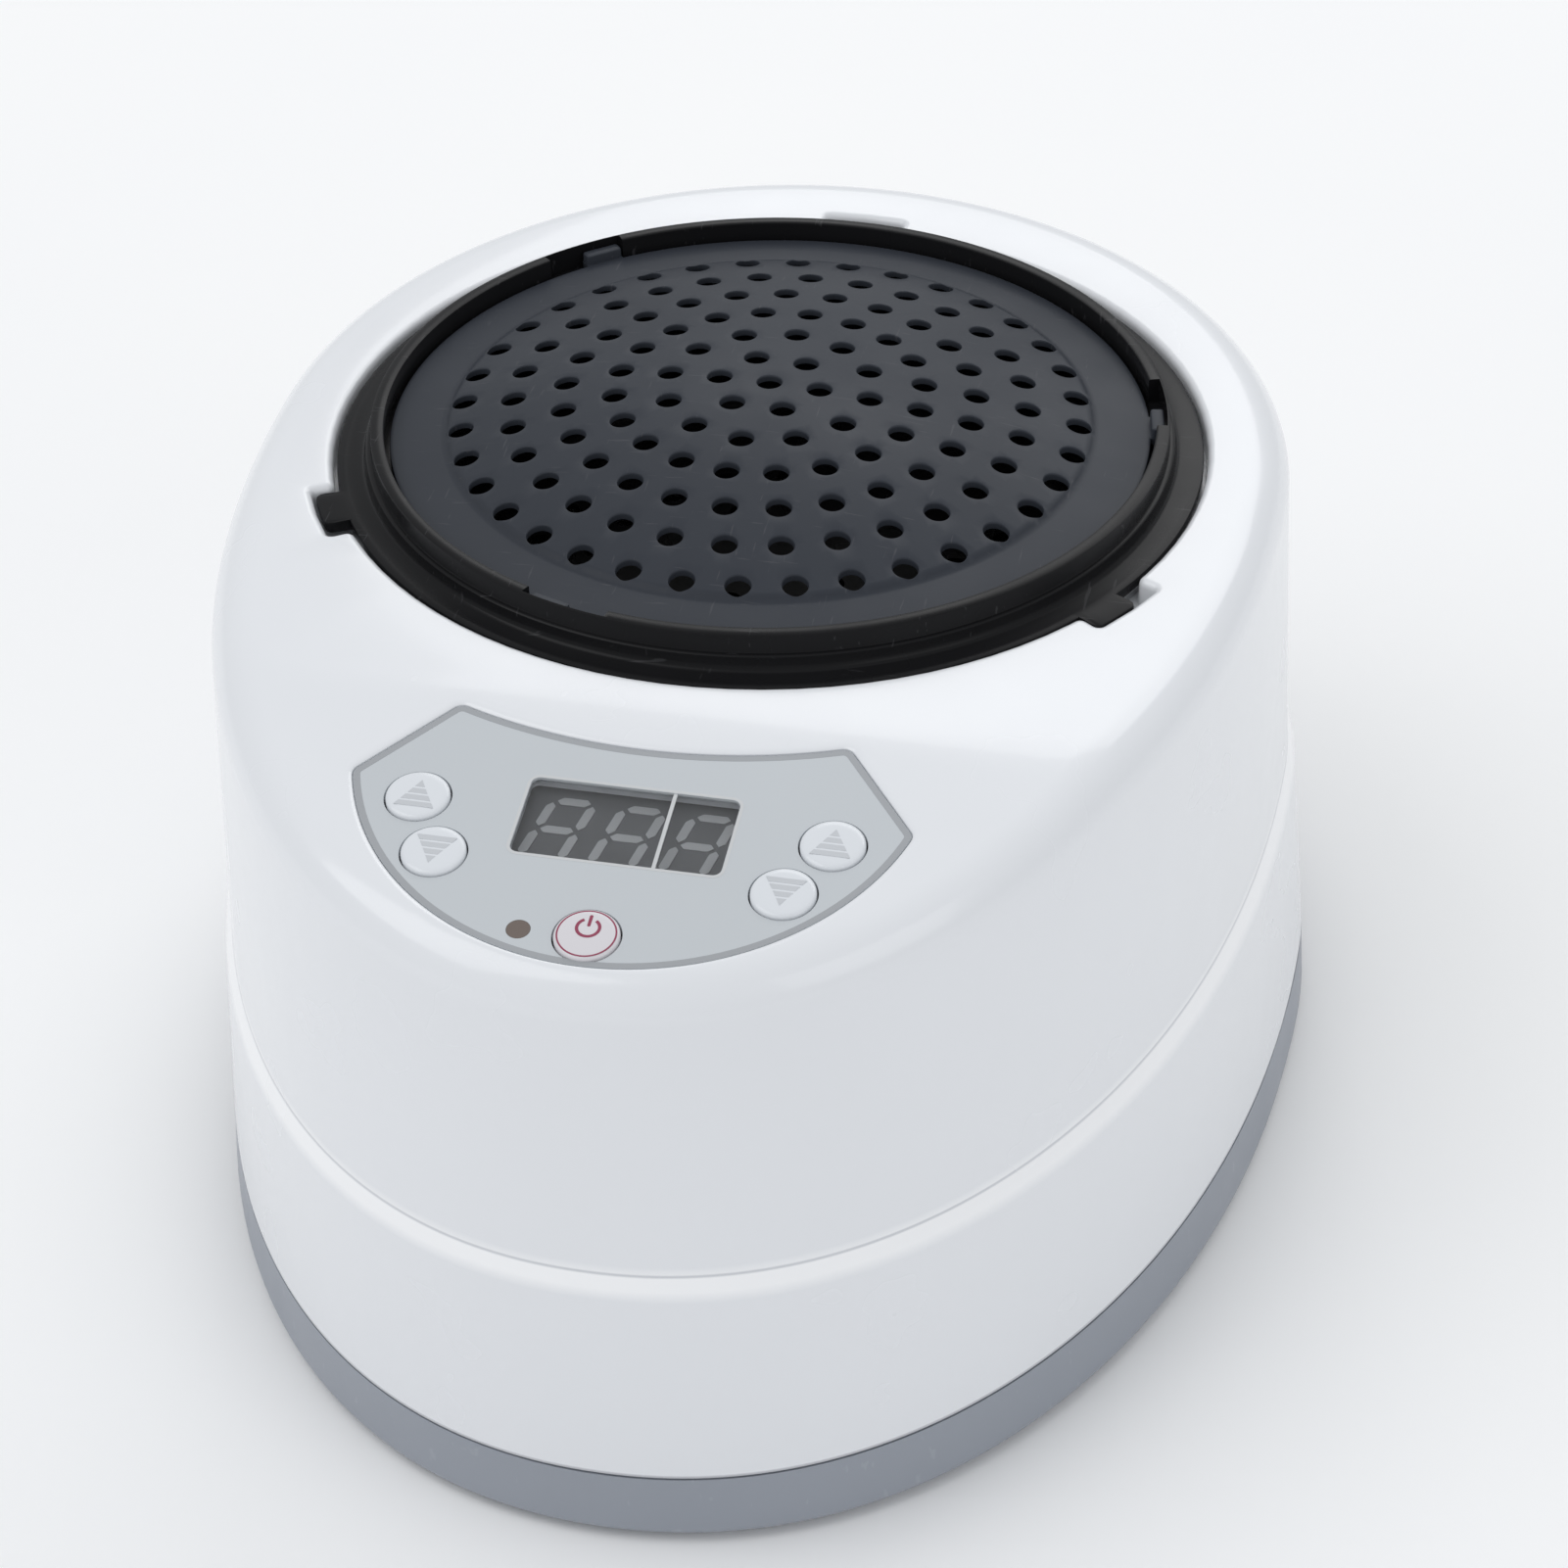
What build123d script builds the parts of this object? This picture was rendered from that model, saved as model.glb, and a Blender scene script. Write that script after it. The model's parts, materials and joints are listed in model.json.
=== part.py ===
from build123d import *
import math
import os

# Steam generator base: egg-shaped housing on a tray, water pot with collar, basket and
# perforated lid, and a control panel on the sloping front. Millimetres, +Z up, front is -Y.
# The origin is the middle of the bounding box's bottom face.

# ---- driving sizes ----
WIDTH = 200.0
LENGTH = 255.0
WALL = 2.8
FOOT_DROP = 2.0
TRAY_TOP_Z = 15.2
PARTING_GAP = 0.5
SHOULDER_Z = 56.8
CREASE_Z = 60.6
TOP_Z = 125.8
TOP_EDGE_R = 8.0
TOP_PLATE = 3.0
SLOPE_DEG = 9.5
SLOPE_START_Y = -66.5
SLOPE_BLEND_R = 60.0
RING_Y = 18.8
FRONT_POWER = 2.1
BODY_GAP = 0.3
FIT = 0.1

# ---- plan insets from the widest outline ----
PARTING_INSET = 1.0
SHOULDER_INSET = 4.6
CREASE_INSET = 6.2
UPPER_INSET = 9.9
BACK_PARTING_INSET = 0.3
BACK_SHOULDER_INSET = 5.0
BACK_CREASE_INSET = 6.5
BACK_UPPER_INSET = 11.0
FRONT_TRAY_INSET = 0.8
FRONT_CREASE_INSET = 0.9
FRONT_UPPER_INSET = 3.2
WIDEST_Y = 30.0
CREASE_WIDEST_Y = 26.0
UPPER_WIDEST_Y = 21.0

# ---- pot, its seat in the housing, and the heater under it ----
POT_R = 66.0
POT_T = 0.8
POT_DEPTH = 76.5
POT_CORNER_R = 9.0
GASKET_T = 1.2
GASKET_W = 4.0
RECESS_DEPTH = 5.3
RECESS_LIP_R = 1.5
LEDGE_R = POT_R + 4.5
LEDGE_T = 2.5
POT_FLANGE_R = LEDGE_R + GASKET_W + 0.7
FLANGE_R = POT_FLANGE_R + 0.7
FLANGE_GAP = 0.7
HEATER_R = POT_R - 14.0
HEATER_T = 5.0
ELEMENT_R = HEATER_R - 14.0
ELEMENT_TUBE_R = 3.4
ELEMENT_GAP_W = 12.0
COLD_END_R = 2.4
CLAMP_T = 2.0
CLAMP_W = 16.0
STUD_R = 2.5
NUT_H = 4.0
CUTOUT_X = 19.0
CUTOUT_Y = 17.0
CUTOUT_H = 9.0
SENSOR_X = -20.0
SENSOR_Y = 16.0
SHIELD_R = LEDGE_R + 2.5
SHIELD_T = 0.6
SHIELD_DROP = 10.5

# ---- collar, basket and lid ----
FLANGE_T = 2.0
TAB_R = FLANGE_R + 4.3
TAB_HALF_DEG = 3.5
TAB_PLAY_DEG = 3.0
TAB_ANGLE = 87.5
TAB_COUNT = 3
SKIRT_R = POT_R - 0.6
SKIRT_T = 1.4
SKIRT_DROP = 11.0
LIP_SEAL_W = 0.35
RIM_BORE_R = SKIRT_R + 2.0
RIM_R = RIM_BORE_R + 2.4
RIM_BASE_R = RIM_R + 2.0
RIM_H = 6.2
RIM_STEP_H = 2.5
LUG_HALF_DEG = 3.1
LUG_ANGLE = 9.8
LUG_COUNT = 3
LUG_PLAY_DEG = 0.4
LID_TURN_DEG = 6.0
LID_R = RIM_BORE_R - 0.9
LUG_R = LID_R + 2.5
LID_T = 1.2
LID_RISE = 0.7
DOME_FOOT_R = LID_R - 9.5
DOME_EDGE_R = DOME_FOOT_R - 1.2
DOME_RISE = 6.5
DOME_CROWN_H = 11.7
HOLE_COUNTS = (6, 12, 20, 25, 30, 36)
HOLE_PITCH_R = (DOME_EDGE_R - 1.8) / len(HOLE_COUNTS)
HOLE_R = 2.2
HOLE_TURN_DEG = -3.5
SEAL_T = 0.4
BASKET_R = SKIRT_R - SKIRT_T - 3.0
BASKET_T = 1.4
BASKET_FLANGE_R = RIM_BORE_R - 0.6
BASKET_FLANGE_T = 0.8
BASKET_DEPTH = 31.0
BASKET_HOLE_COUNTS = (6, 12, 18, 24)
BASKET_HOLE_PITCH = (BASKET_R - 17.0) / len(BASKET_HOLE_COUNTS)
BASKET_HOLE_R = 2.4

# ---- control panel, in the slope's own axes: x across, s up the slope ----
PANEL_DOWN_Y = 8.0
PANEL_TOP_X = 31.6
PANEL_TOP_S = 5.5
PANEL_SIDE_X = 44.8
PANEL_SIDE_S = -11.4
PANEL_BOTTOM_S = -45.6
PANEL_DIP = 5.4
PANEL_CORNER_R = 2.0
PANEL_RECESS = 1.0
PANEL_BACKING_T = 2.4
OVERLAY_T = 0.5
WINDOW_W = 33.4
WINDOW_H = 16.0
WINDOW_X = 0.5
WINDOW_S = -16.3
WINDOW_CORNER_R = 1.4
LENS_BORDER = 1.6
LENS_T = 0.5
BUTTON_R = 5.1
BUTTON_PROUD = 0.7
BUTTON_TRAVEL = 0.6
BUTTON_LIP = 0.85
BUTTON_LIP_T = 0.8
STEM_R = 1.6
BUTTONS = {
    "timer_up_button": (-33.0, -15.4),
    "timer_down_button": (-27.5, -26.4),
    "heat_up_button": (33.0, -15.4),
    "heat_down_button": (27.5, -26.4),
    "power_button": (0.0, -39.5),
}
IR_X = -10.6
IR_S = -39.8
IR_R = 1.9
IR_SEAT_T = 0.7
BOARD_DEPTH = 10.9
BOARD_T = 1.6
BOARD_POSTS = ((-40.5, -8.0), (40.5, -8.0), (-20.0, -34.5), (20.0, -34.5))
BOARD_POST_R = 2.6
SWITCH_W = 6.0
SWITCH_H = 3.5
PLUNGER_R = 1.7
PLUNGER_H = 0.8

# ---- screws, bosses and feet ----
SCREW_R = 1.5
SCREW_L = 22.0
HEAD_R = 3.2
HEAD_H = 2.2
HEAD_SINK = 6.0
BOSS_R = 4.6
BOSS_TOP_Z = 48.0
BOSS_GAP = 0.6
BOSS_BACK = (WIDTH / 2 - 16.0, LENGTH / 2 - 65.5)
BOSS_MIDDLE = (WIDTH / 2 - 15.0, -26.0)
BOSS_FRONT = (45.0, -LENGTH / 2 + 28.5)
RIB_T = 2.4
SIDE_RIB_L = 16.0
FRONT_RIB_L = 20.0
FEET = ((WIDTH / 2 - 40.0, LENGTH / 2 - 55.5), (WIDTH / 2 - 48.0, -LENGTH / 2 + 55.5))
FOOT_R = 8.0
FOOT_SINK = 1.2
TRAY_FLOOR = 2.5
TRAY_EDGE_R = 1.5
LIP_H = 3.6
VENT_W = 3.0
VENT_L = 30.0
VENT_PITCH = 9.0
VENT_COUNT = 7

# ---- power inlet in the back wall ----
INLET_Z = 35.0
INLET_W = 27.0
INLET_H = 20.0
INLET_FLANGE = 2.5
INLET_FLANGE_T = 2.0
INLET_PAD_Y = LENGTH / 2 - 5.1
INLET_PAD_T = 3.0
INLET_PAD_BORDER = 5.0
INLET_DEPTH = 20.0
INLET_WALL = 1.6
INLET_BACK = 4.0
PIN_PLACES = ((-7.0, -3.0), (0.0, 0.4), (7.0, -3.0))
PIN_W = 2.0
PIN_H = 3.6
PIN_TAIL = 4.0

# ---- power board on the tray ----
POWER_BOARD_Z = 12.0
POWER_BOARD_Y = -LENGTH / 2 + 47.5
POWER_BOARD_W = 76.0
POWER_BOARD_D = 40.0
POWER_BOARD_POSTS = ((33.0, 15.0), (33.0, -15.0))
HEAT_SINK_X = 19.0
TERMINAL_X = 12.5

# ---- values worked out from the sizes above ----
BOSSES = (BOSS_BACK, BOSS_MIDDLE, BOSS_FRONT)
PARTING_Z = TRAY_TOP_Z + PARTING_GAP
LEDGE_Z = TOP_Z - RECESS_DEPTH
POT_TOP_Z = LEDGE_Z + GASKET_T + POT_T
FLANGE_Z = POT_TOP_Z + BODY_GAP
FLANGE_TOP_Z = FLANGE_Z + FLANGE_T
RIM_TOP_Z = FLANGE_TOP_Z + RIM_H
COLLAR_SEAT_Z = FLANGE_TOP_Z - 0.2
BASKET_Z = COLLAR_SEAT_Z + BODY_GAP
BASKET_TOP_Z = BASKET_Z + BASKET_FLANGE_T
BASKET_FLOOR_Z = BASKET_TOP_Z - BASKET_DEPTH
SEAL_Z = BASKET_TOP_Z + BODY_GAP
LID_Z = SEAL_Z + SEAL_T + BODY_GAP
LID_EDGE_Z = LID_Z + LID_T
CROWN_Z = FLANGE_TOP_Z + DOME_CROWN_H
POT_FLOOR_Z = POT_TOP_Z - POT_DEPTH
HEATER_TOP_Z = POT_FLOOR_Z - POT_T
HEATER_Z = HEATER_TOP_Z - HEATER_T
CLAMP_Z = HEATER_Z - ELEMENT_TUBE_R - CLAMP_T
SHIELD_Z = FOOT_DROP + TRAY_FLOOR + 0.5
SHIELD_TOP_Z = LEDGE_Z - SHIELD_DROP
RECESS_R = FLANGE_R + FLANGE_GAP
SLOPE_FALL = math.tan(math.radians(SLOPE_DEG))
SHELL_UNDER = OVERLAY_T + PANEL_BACKING_T
PANEL_Z = TOP_Z - PANEL_DOWN_Y * SLOPE_FALL - PANEL_RECESS + OVERLAY_T
PANEL = Plane(
    origin=(0, SLOPE_START_Y - PANEL_DOWN_Y, PANEL_Z),
    x_dir=(1, 0, 0),
    z_dir=(0, -math.sin(math.radians(SLOPE_DEG)), math.cos(math.radians(SLOPE_DEG))),
)
RING = Location((0, RING_Y, 0))


# ---- helpers ----
def outline(half_width, front_y, back_y, widest_y, z, inset=0.0):
    """Egg-shaped face at height z: a superellipse in front, an ellipse behind."""
    half = half_width - inset
    front = widest_y - front_y - inset
    back = back_y - widest_y - inset
    points = []
    steps = 36
    for i in range(steps):
        turn = 2 * math.pi * (i + 0.5) / steps
        c = math.cos(turn)
        s = math.sin(turn)
        power = 2 / FRONT_POWER if s < 0 else 1.0
        reach = front if s < 0 else back
        x = half * math.copysign(abs(c) ** power, c)
        y = widest_y + reach * math.copysign(abs(s) ** power, s)
        points.append((x, y, z))
    return make_face(Spline(*points, periodic=True))


def body_outline(level, z, inset=0.0):
    """The housing's outline at one of its named levels."""
    half = WIDTH / 2
    end = LENGTH / 2
    shapes = {
        "foot": (half, -end + FRONT_TRAY_INSET, end - BACK_PARTING_INSET, WIDEST_Y),
        "parting": (half - PARTING_INSET, -end + FRONT_TRAY_INSET, end, WIDEST_Y),
        "shoulder": (half - SHOULDER_INSET, -end, end - BACK_SHOULDER_INSET, CREASE_WIDEST_Y),
        "crease": (
            half - CREASE_INSET,
            -end + FRONT_CREASE_INSET,
            end - BACK_CREASE_INSET,
            CREASE_WIDEST_Y,
        ),
        "upper": (
            half - UPPER_INSET,
            -end + FRONT_UPPER_INSET,
            end - BACK_UPPER_INSET,
            UPPER_WIDEST_Y,
        ),
    }
    return outline(*shapes[level], z, inset)


def ring(outer, inner, z, height):
    """Upright tube on the ring axis."""
    tube = Cylinder(outer, height, align=(Align.CENTER, Align.CENTER, Align.MIN))
    if inner > 0:
        tube -= Cylinder(inner, height, align=(Align.CENTER, Align.CENTER, Align.MIN))
    return Pos(0, RING_Y, z) * tube


def turned(points):
    """Solid of revolution about the ring axis from (radius, z) points."""
    face = make_face(Plane.XZ * Polyline(*points, close=True))
    return RING * revolve(face, Axis.Z, 360)


def sector(outer, inner, z, height, middle_deg, half_deg):
    """Piece of an upright tube between two angles about the ring axis."""
    low = math.radians(middle_deg - half_deg)
    high = math.radians(middle_deg + half_deg)
    reach = outer * 1.5
    wedge = Polyline(
        (0, 0),
        (reach * math.cos(low), reach * math.sin(low)),
        (reach * math.cos(high), reach * math.sin(high)),
        close=True,
    )
    cut = extrude(make_face(wedge), height)
    return ring(outer, inner, z, height) & (Pos(0, RING_Y, z) * cut)


def peg(radius, z, height, x=0.0, y=0.0):
    """Upright cylinder standing at z."""
    return Pos(x, y, z) * Cylinder(radius, height, align=(Align.CENTER, Align.CENTER, Align.MIN))


def block(width, depth, height, x, y, z):
    """Box standing at z, centred on x and y."""
    return Pos(x, y, z) * Box(width, depth, height, align=(Align.CENTER, Align.CENTER, Align.MIN))


def on_panel(shape, x, s, top):
    """Places a shape built downward from its own z = 0 at a height above the overlay."""
    return PANEL * Pos(x, s, top) * shape


def down_peg(radius, height):
    return Cylinder(radius, height, align=(Align.CENTER, Align.CENTER, Align.MAX))


def down_block(width, depth, height):
    return Box(width, depth, height, align=(Align.CENTER, Align.CENTER, Align.MAX))


def panel_outline(grow=0.0):
    """Panel shape: concave top edge, two slanted corners and one large lower arc."""
    top_x = PANEL_TOP_X + grow * 0.6
    top_s = PANEL_TOP_S + grow
    side_x = PANEL_SIDE_X + grow
    side_s = PANEL_SIDE_S + grow * 0.3
    bottom_s = PANEL_BOTTOM_S - grow
    dip_s = top_s - PANEL_DIP
    edge = [
        ThreePointArc((-top_x, top_s), (0, dip_s), (top_x, top_s)),
        Line((top_x, top_s), (side_x, side_s)),
        ThreePointArc((side_x, side_s), (0, bottom_s), (-side_x, side_s)),
        Line((-side_x, side_s), (-top_x, top_s)),
    ]
    face = make_face(Wire(edge))
    return fillet(face.vertices(), PANEL_CORNER_R)


def mirrored_x(places):
    """Both sides of each (x, y) place."""
    return [(side * x, y) for x, y in places for side in (-1, 1)]


def save(node, *solids):
    """Writes one node's solids to its STEP file."""
    shapes = []
    for solid in solids:
        shapes.extend(solid.solids())
    export_step(Compound(shapes) if len(shapes) > 1 else shapes[0], f"parts/{node}.step")


# ---- housing ----
def top_profile(drop, reach):
    """Block under the housing's top: level over the pot, then sloping to the front."""
    z = TOP_Z - drop
    far = -LENGTH
    side = Polyline(
        (far, 0),
        (LENGTH, 0),
        (LENGTH, z),
        (SLOPE_START_Y, z),
        (far, z - SLOPE_FALL * (SLOPE_START_Y - far)),
        close=True,
    )
    face = make_face(side)
    bend = face.vertices().sort_by_distance((SLOPE_START_Y, z, 0))[0]
    return extrude(Plane.YZ * fillet(bend, SLOPE_BLEND_R), reach, both=True)


def housing_block(inset, drop, foot_z):
    """Solid inside the housing's side walls and under its top."""
    top_z = TOP_Z + 5
    sections = [
        body_outline("parting", foot_z, inset),
        body_outline("shoulder", SHOULDER_Z, inset),
        body_outline("crease", CREASE_Z, inset),
        body_outline("upper", top_z, inset),
    ]
    return loft(sections, ruled=True) & top_profile(drop, WIDTH)


def upper_shell():
    """White housing: walls, top with the collar recess, and the sloping panel seat."""
    outer = housing_block(0, 0, PARTING_Z)
    upper_z = (CREASE_Z + TOP_Z) / 2
    rim = [e for e in outer.edges() if e.center().Z > upper_z and e.geom_type != GeomType.LINE]
    outer = fillet(rim, TOP_EDGE_R)
    inner = housing_block(WALL, TOP_PLATE, PARTING_Z)
    shell = outer - inner
    cup_h = TOP_Z - LEDGE_Z + LEDGE_T - 1
    shell += ring(RECESS_R + WALL, LEDGE_R, LEDGE_Z - LEDGE_T, cup_h) & outer
    shell += extra_bosses(outer)
    shell -= ring(RECESS_R, 0, LEDGE_Z, TOP_Z)
    shell -= recess_lip()
    shell -= ring(LEDGE_R, 0, LEDGE_Z - 2 * LEDGE_T, TOP_Z)
    for i in range(TAB_COUNT):
        middle = TAB_ANGLE + 360 / TAB_COUNT * i + TAB_PLAY_DEG / 2
        half = TAB_HALF_DEG + TAB_PLAY_DEG / 2 + 0.4
        shell -= sector(TAB_R + FLANGE_GAP, FLANGE_R - 2, FLANGE_Z - BODY_GAP, TOP_Z, middle, half)
    seat = extrude(PANEL * Pos(0, 0, -OVERLAY_T) * panel_outline(FIT), 20)
    shell -= seat
    shell += panel_backing(outer)
    shell -= panel_holes()
    shell -= seat
    return shell - inlet_hole()


def recess_lip():
    """Waste above the rounded lip of the collar's recess."""
    lip = RECESS_LIP_R
    low = RECESS_R - 1
    turn = lip * (1 - math.sqrt(0.5))
    edge = [
        Line((low, TOP_Z - lip), (RECESS_R, TOP_Z - lip)),
        ThreePointArc((RECESS_R, TOP_Z - lip), (RECESS_R + turn, TOP_Z - turn), (RECESS_R + lip, TOP_Z)),
        Line((RECESS_R + lip, TOP_Z), (RECESS_R + lip, TOP_Z + 1)),
        Line((RECESS_R + lip, TOP_Z + 1), (low, TOP_Z + 1)),
        Line((low, TOP_Z + 1), (low, TOP_Z - lip)),
    ]
    return RING * revolve(make_face(Plane.XZ * Wire(edge)), Axis.Z, 360)


def panel_backing(outer):
    """Plate under the panel and the four posts that carry the control board."""
    plate = extrude(PANEL * Pos(0, 0, -SHELL_UNDER) * panel_outline(3.0), PANEL_BACKING_T)
    backing = plate & outer
    for x, s in BOARD_POSTS:
        post = on_panel(down_peg(BOARD_POST_R, BOARD_DEPTH - OVERLAY_T), x, s, -OVERLAY_T)
        backing += post - on_panel(down_peg(1.0, BOARD_DEPTH), x, s, -OVERLAY_T - 3.5)
    return backing


def panel_holes():
    """Holes in the housing under the display window, the buttons and the receiver."""
    holes = on_panel(down_block(WINDOW_W + 0.6, WINDOW_H + 0.6, 8), WINDOW_X, WINDOW_S, 0)
    lens_w = WINDOW_W + 2 * LENS_BORDER + FIT
    lens_h = WINDOW_H + 2 * LENS_BORDER + FIT
    holes += on_panel(down_block(lens_w, lens_h, LENS_T + FIT), WINDOW_X, WINDOW_S, -OVERLAY_T)
    for x, s in BUTTONS.values():
        holes += on_panel(down_peg(BUTTON_R + BODY_GAP, 8), x, s, 0)
    holes += on_panel(down_peg(IR_R + 0.5, 8), IR_X, IR_S, 0)
    return holes


def extra_bosses(outer):
    """Screw bosses on ribs along the wall, and the pad behind the power inlet."""
    pad_w = INLET_W + 2 * INLET_PAD_BORDER
    pad_h = INLET_H + 2 * INLET_PAD_BORDER
    pad_y = INLET_PAD_Y + INLET_PAD_T / 2
    group = block(pad_w, 3 * INLET_PAD_T, pad_h, 0, pad_y, INLET_Z - pad_h / 2)
    rib_z = PARTING_Z + LIP_H + BOSS_GAP
    rib_h = BOSS_TOP_Z - PARTING_Z
    for x, y in mirrored_x((BOSS_BACK, BOSS_MIDDLE)):
        rib_x = x + math.copysign(SIDE_RIB_L / 2, x)
        group += block(SIDE_RIB_L, RIB_T, rib_h, rib_x, y, rib_z)
    for x, y in mirrored_x([BOSS_FRONT]):
        group += block(RIB_T, FRONT_RIB_L, rib_h, x, y - FRONT_RIB_L / 2, rib_z)
    for x, y in mirrored_x(BOSSES):
        group += peg(BOSS_R, PARTING_Z + BOSS_GAP, rib_h, x, y)
    group &= outer
    for x, y in mirrored_x(BOSSES):
        group -= peg(SCREW_R + 0.05, PARTING_Z - 1, 18, x, y)
    return group


def inlet_hole():
    """Flat seat and opening for the power inlet in the back wall."""
    border = INLET_FLANGE + BODY_GAP
    seat_y = INLET_PAD_Y + INLET_DEPTH / 2
    seat_z = INLET_Z - INLET_H / 2 - border
    hole_w = INLET_W + 2 * FIT
    hole_h = INLET_H + 2 * FIT
    seat = block(INLET_W + 2 * border, INLET_DEPTH, INLET_H + 2 * border, 0, seat_y, seat_z)
    return seat + block(hole_w, 2 * INLET_DEPTH, hole_h, 0, INLET_PAD_Y, INLET_Z - hole_h / 2)


def base_tray():
    """Grey tray: floor, outer wall, inner lip, screw posts, feet seats and board posts."""
    foot = body_outline("foot", FOOT_DROP)
    top = body_outline("parting", TRAY_TOP_Z)
    tray = loft([foot, top], ruled=True)
    bottom_edge = tray.edges().filter_by_position(Axis.Z, FOOT_DROP - 0.1, FOOT_DROP + 0.1)
    tray = fillet(bottom_edge, TRAY_EDGE_R)
    tray -= loft(
        [
            body_outline("foot", FOOT_DROP + TRAY_FLOOR, WALL),
            body_outline("parting", TRAY_TOP_Z + 1, WALL),
        ],
        ruled=True,
    )
    root = 3.0
    lip_h = root + PARTING_GAP + LIP_H
    lip_outer = body_outline("parting", TRAY_TOP_Z - root, WALL + BODY_GAP + BOSS_GAP)
    lip_inner = body_outline("parting", TRAY_TOP_Z - root, 2 * WALL + BOSS_GAP)
    tray += extrude(lip_outer, lip_h) - extrude(lip_inner, lip_h)
    web = body_outline("parting", TRAY_TOP_Z - root, WALL - 0.5)
    tray += extrude(web, root) - extrude(lip_inner, root)
    floor_z = FOOT_DROP + TRAY_FLOOR - 0.5
    for x, y in mirrored_x(BOSSES):
        tray += peg(BOSS_R, floor_z, PARTING_Z - floor_z, x, y)
        tray -= peg(SCREW_R + 0.3, 0, 40, x, y)
        tray -= peg(HEAD_R + 0.4, 0, FOOT_DROP + HEAD_SINK, x, y)
        tray -= peg(BOSS_R + 0.5, PARTING_Z + 0.1, 20, x, y)
    for x, y in mirrored_x(POWER_BOARD_POSTS):
        tray += peg(3.0, floor_z, POWER_BOARD_Z - floor_z, x, y + POWER_BOARD_Y)
        tray -= peg(1.1, POWER_BOARD_Z - 5, 6, x, y + POWER_BOARD_Y)
    for x, y in mirrored_x(FEET):
        tray -= peg(FOOT_R + 0.05, 0, FOOT_DROP + FOOT_SINK, x, y)
    tray += ring(SHIELD_R + 2.2, SHIELD_R - 2.6, floor_z, 3.5)
    tray -= ring(SHIELD_R + FIT, SHIELD_R - SHIELD_T - FIT, SHIELD_Z, 10)
    for i in range(VENT_COUNT):
        vent_x = (i - (VENT_COUNT - 1) / 2) * VENT_PITCH
        tray -= block(VENT_W, VENT_L, 20, vent_x, RING_Y, -5)
    return tray


def feet():
    """Rubber pads set in the tray's underside."""
    pads = []
    for x, y in mirrored_x(FEET):
        pad = peg(FOOT_R, 0, FOOT_DROP + FOOT_SINK, x, y)
        edge = pad.edges().filter_by_position(Axis.Z, -0.1, 0.1)
        pads.append(chamfer(edge, 0.6))
    return pads


def screw(length, radius=SCREW_R, head_r=HEAD_R, head_h=HEAD_H):
    """Pan-head screw, head down at z = 0, shank up, with a cross recess."""
    body = Cylinder(head_r, head_h, align=(Align.CENTER, Align.CENTER, Align.MIN))
    body = fillet(body.edges().filter_by_position(Axis.Z, -0.01, 0.01), head_h * 0.3)
    body += Cylinder(radius, length + head_h, align=(Align.CENTER, Align.CENTER, Align.MIN))
    body -= Box(head_r * 1.2, 0.7, head_h * 0.8) + Box(0.7, head_r * 1.2, head_h * 0.8)
    return body


def base_screws():
    """Screws up through the tray's posts into the housing's bosses."""
    head_z = FOOT_DROP + HEAD_SINK - HEAD_H
    return [Pos(x, y, head_z) * screw(SCREW_L) for x, y in mirrored_x(BOSSES)]


# ---- pot, heater and shield ----
def water_pot():
    """Deep-drawn pot with a flange that rests on the gasket."""
    wall = ring(POT_R + POT_T, 0, HEATER_TOP_Z, POT_TOP_Z - HEATER_TOP_Z)
    foot = wall.edges().filter_by_position(Axis.Z, HEATER_TOP_Z - 0.1, HEATER_TOP_Z + 0.1)
    wall = fillet(foot, POT_CORNER_R)
    wall += ring(POT_FLANGE_R, 0, POT_TOP_Z - POT_T, POT_T)
    hollow = ring(POT_R, 0, POT_FLOOR_Z, POT_TOP_Z - POT_FLOOR_Z + 1)
    low = hollow.edges().filter_by_position(Axis.Z, POT_FLOOR_Z - 0.1, POT_FLOOR_Z + 0.1)
    return wall - fillet(low, POT_CORNER_R - POT_T)


def pot_gasket():
    return ring(LEDGE_R + 0.5 + GASKET_W, LEDGE_R + 0.5, LEDGE_Z, GASKET_T)


def heater_plate():
    """Cast plate pressed against the pot's underside."""
    plate = ring(HEATER_R, 0, HEATER_Z, HEATER_T)
    plate -= Pos(0, RING_Y, HEATER_Z) * Torus(ELEMENT_R, ELEMENT_TUBE_R + 0.05)
    return plate - ring(STUD_R + 1.6, 0, HEATER_Z - 1, HEATER_T + 2)


def heater_element():
    """Tubular element bedded in the plate's groove, with two cold ends down."""
    loop = Pos(0, RING_Y, HEATER_Z) * Torus(ELEMENT_R, ELEMENT_TUBE_R)
    loop -= block(ELEMENT_GAP_W, 20, 12, 0, RING_Y - ELEMENT_R, HEATER_Z - 6)
    end_x = (ELEMENT_GAP_W + 6) / 2
    end_y = RING_Y - math.sqrt(ELEMENT_R**2 - end_x**2)
    for side in (-1, 1):
        loop += peg(COLD_END_R, HEATER_Z - 11, 11, side * end_x, end_y)
    return loop


def clamp_bar():
    """Pressed bar that holds the heater plate up on the pot's stud."""
    bar = block(2 * HEATER_R - 10, CLAMP_W, CLAMP_T, 0, RING_Y, CLAMP_Z)
    bar = fillet(bar.edges().filter_by(Axis.Z), CLAMP_W / 4)
    return bar - peg(STUD_R + FIT, CLAMP_Z - 1, CLAMP_T + 2, 0, RING_Y)


def clamp_stud():
    """Stud welded under the pot."""
    low = CLAMP_Z - NUT_H - 2
    return peg(STUD_R, low, HEATER_TOP_Z - low, 0, RING_Y)


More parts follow.
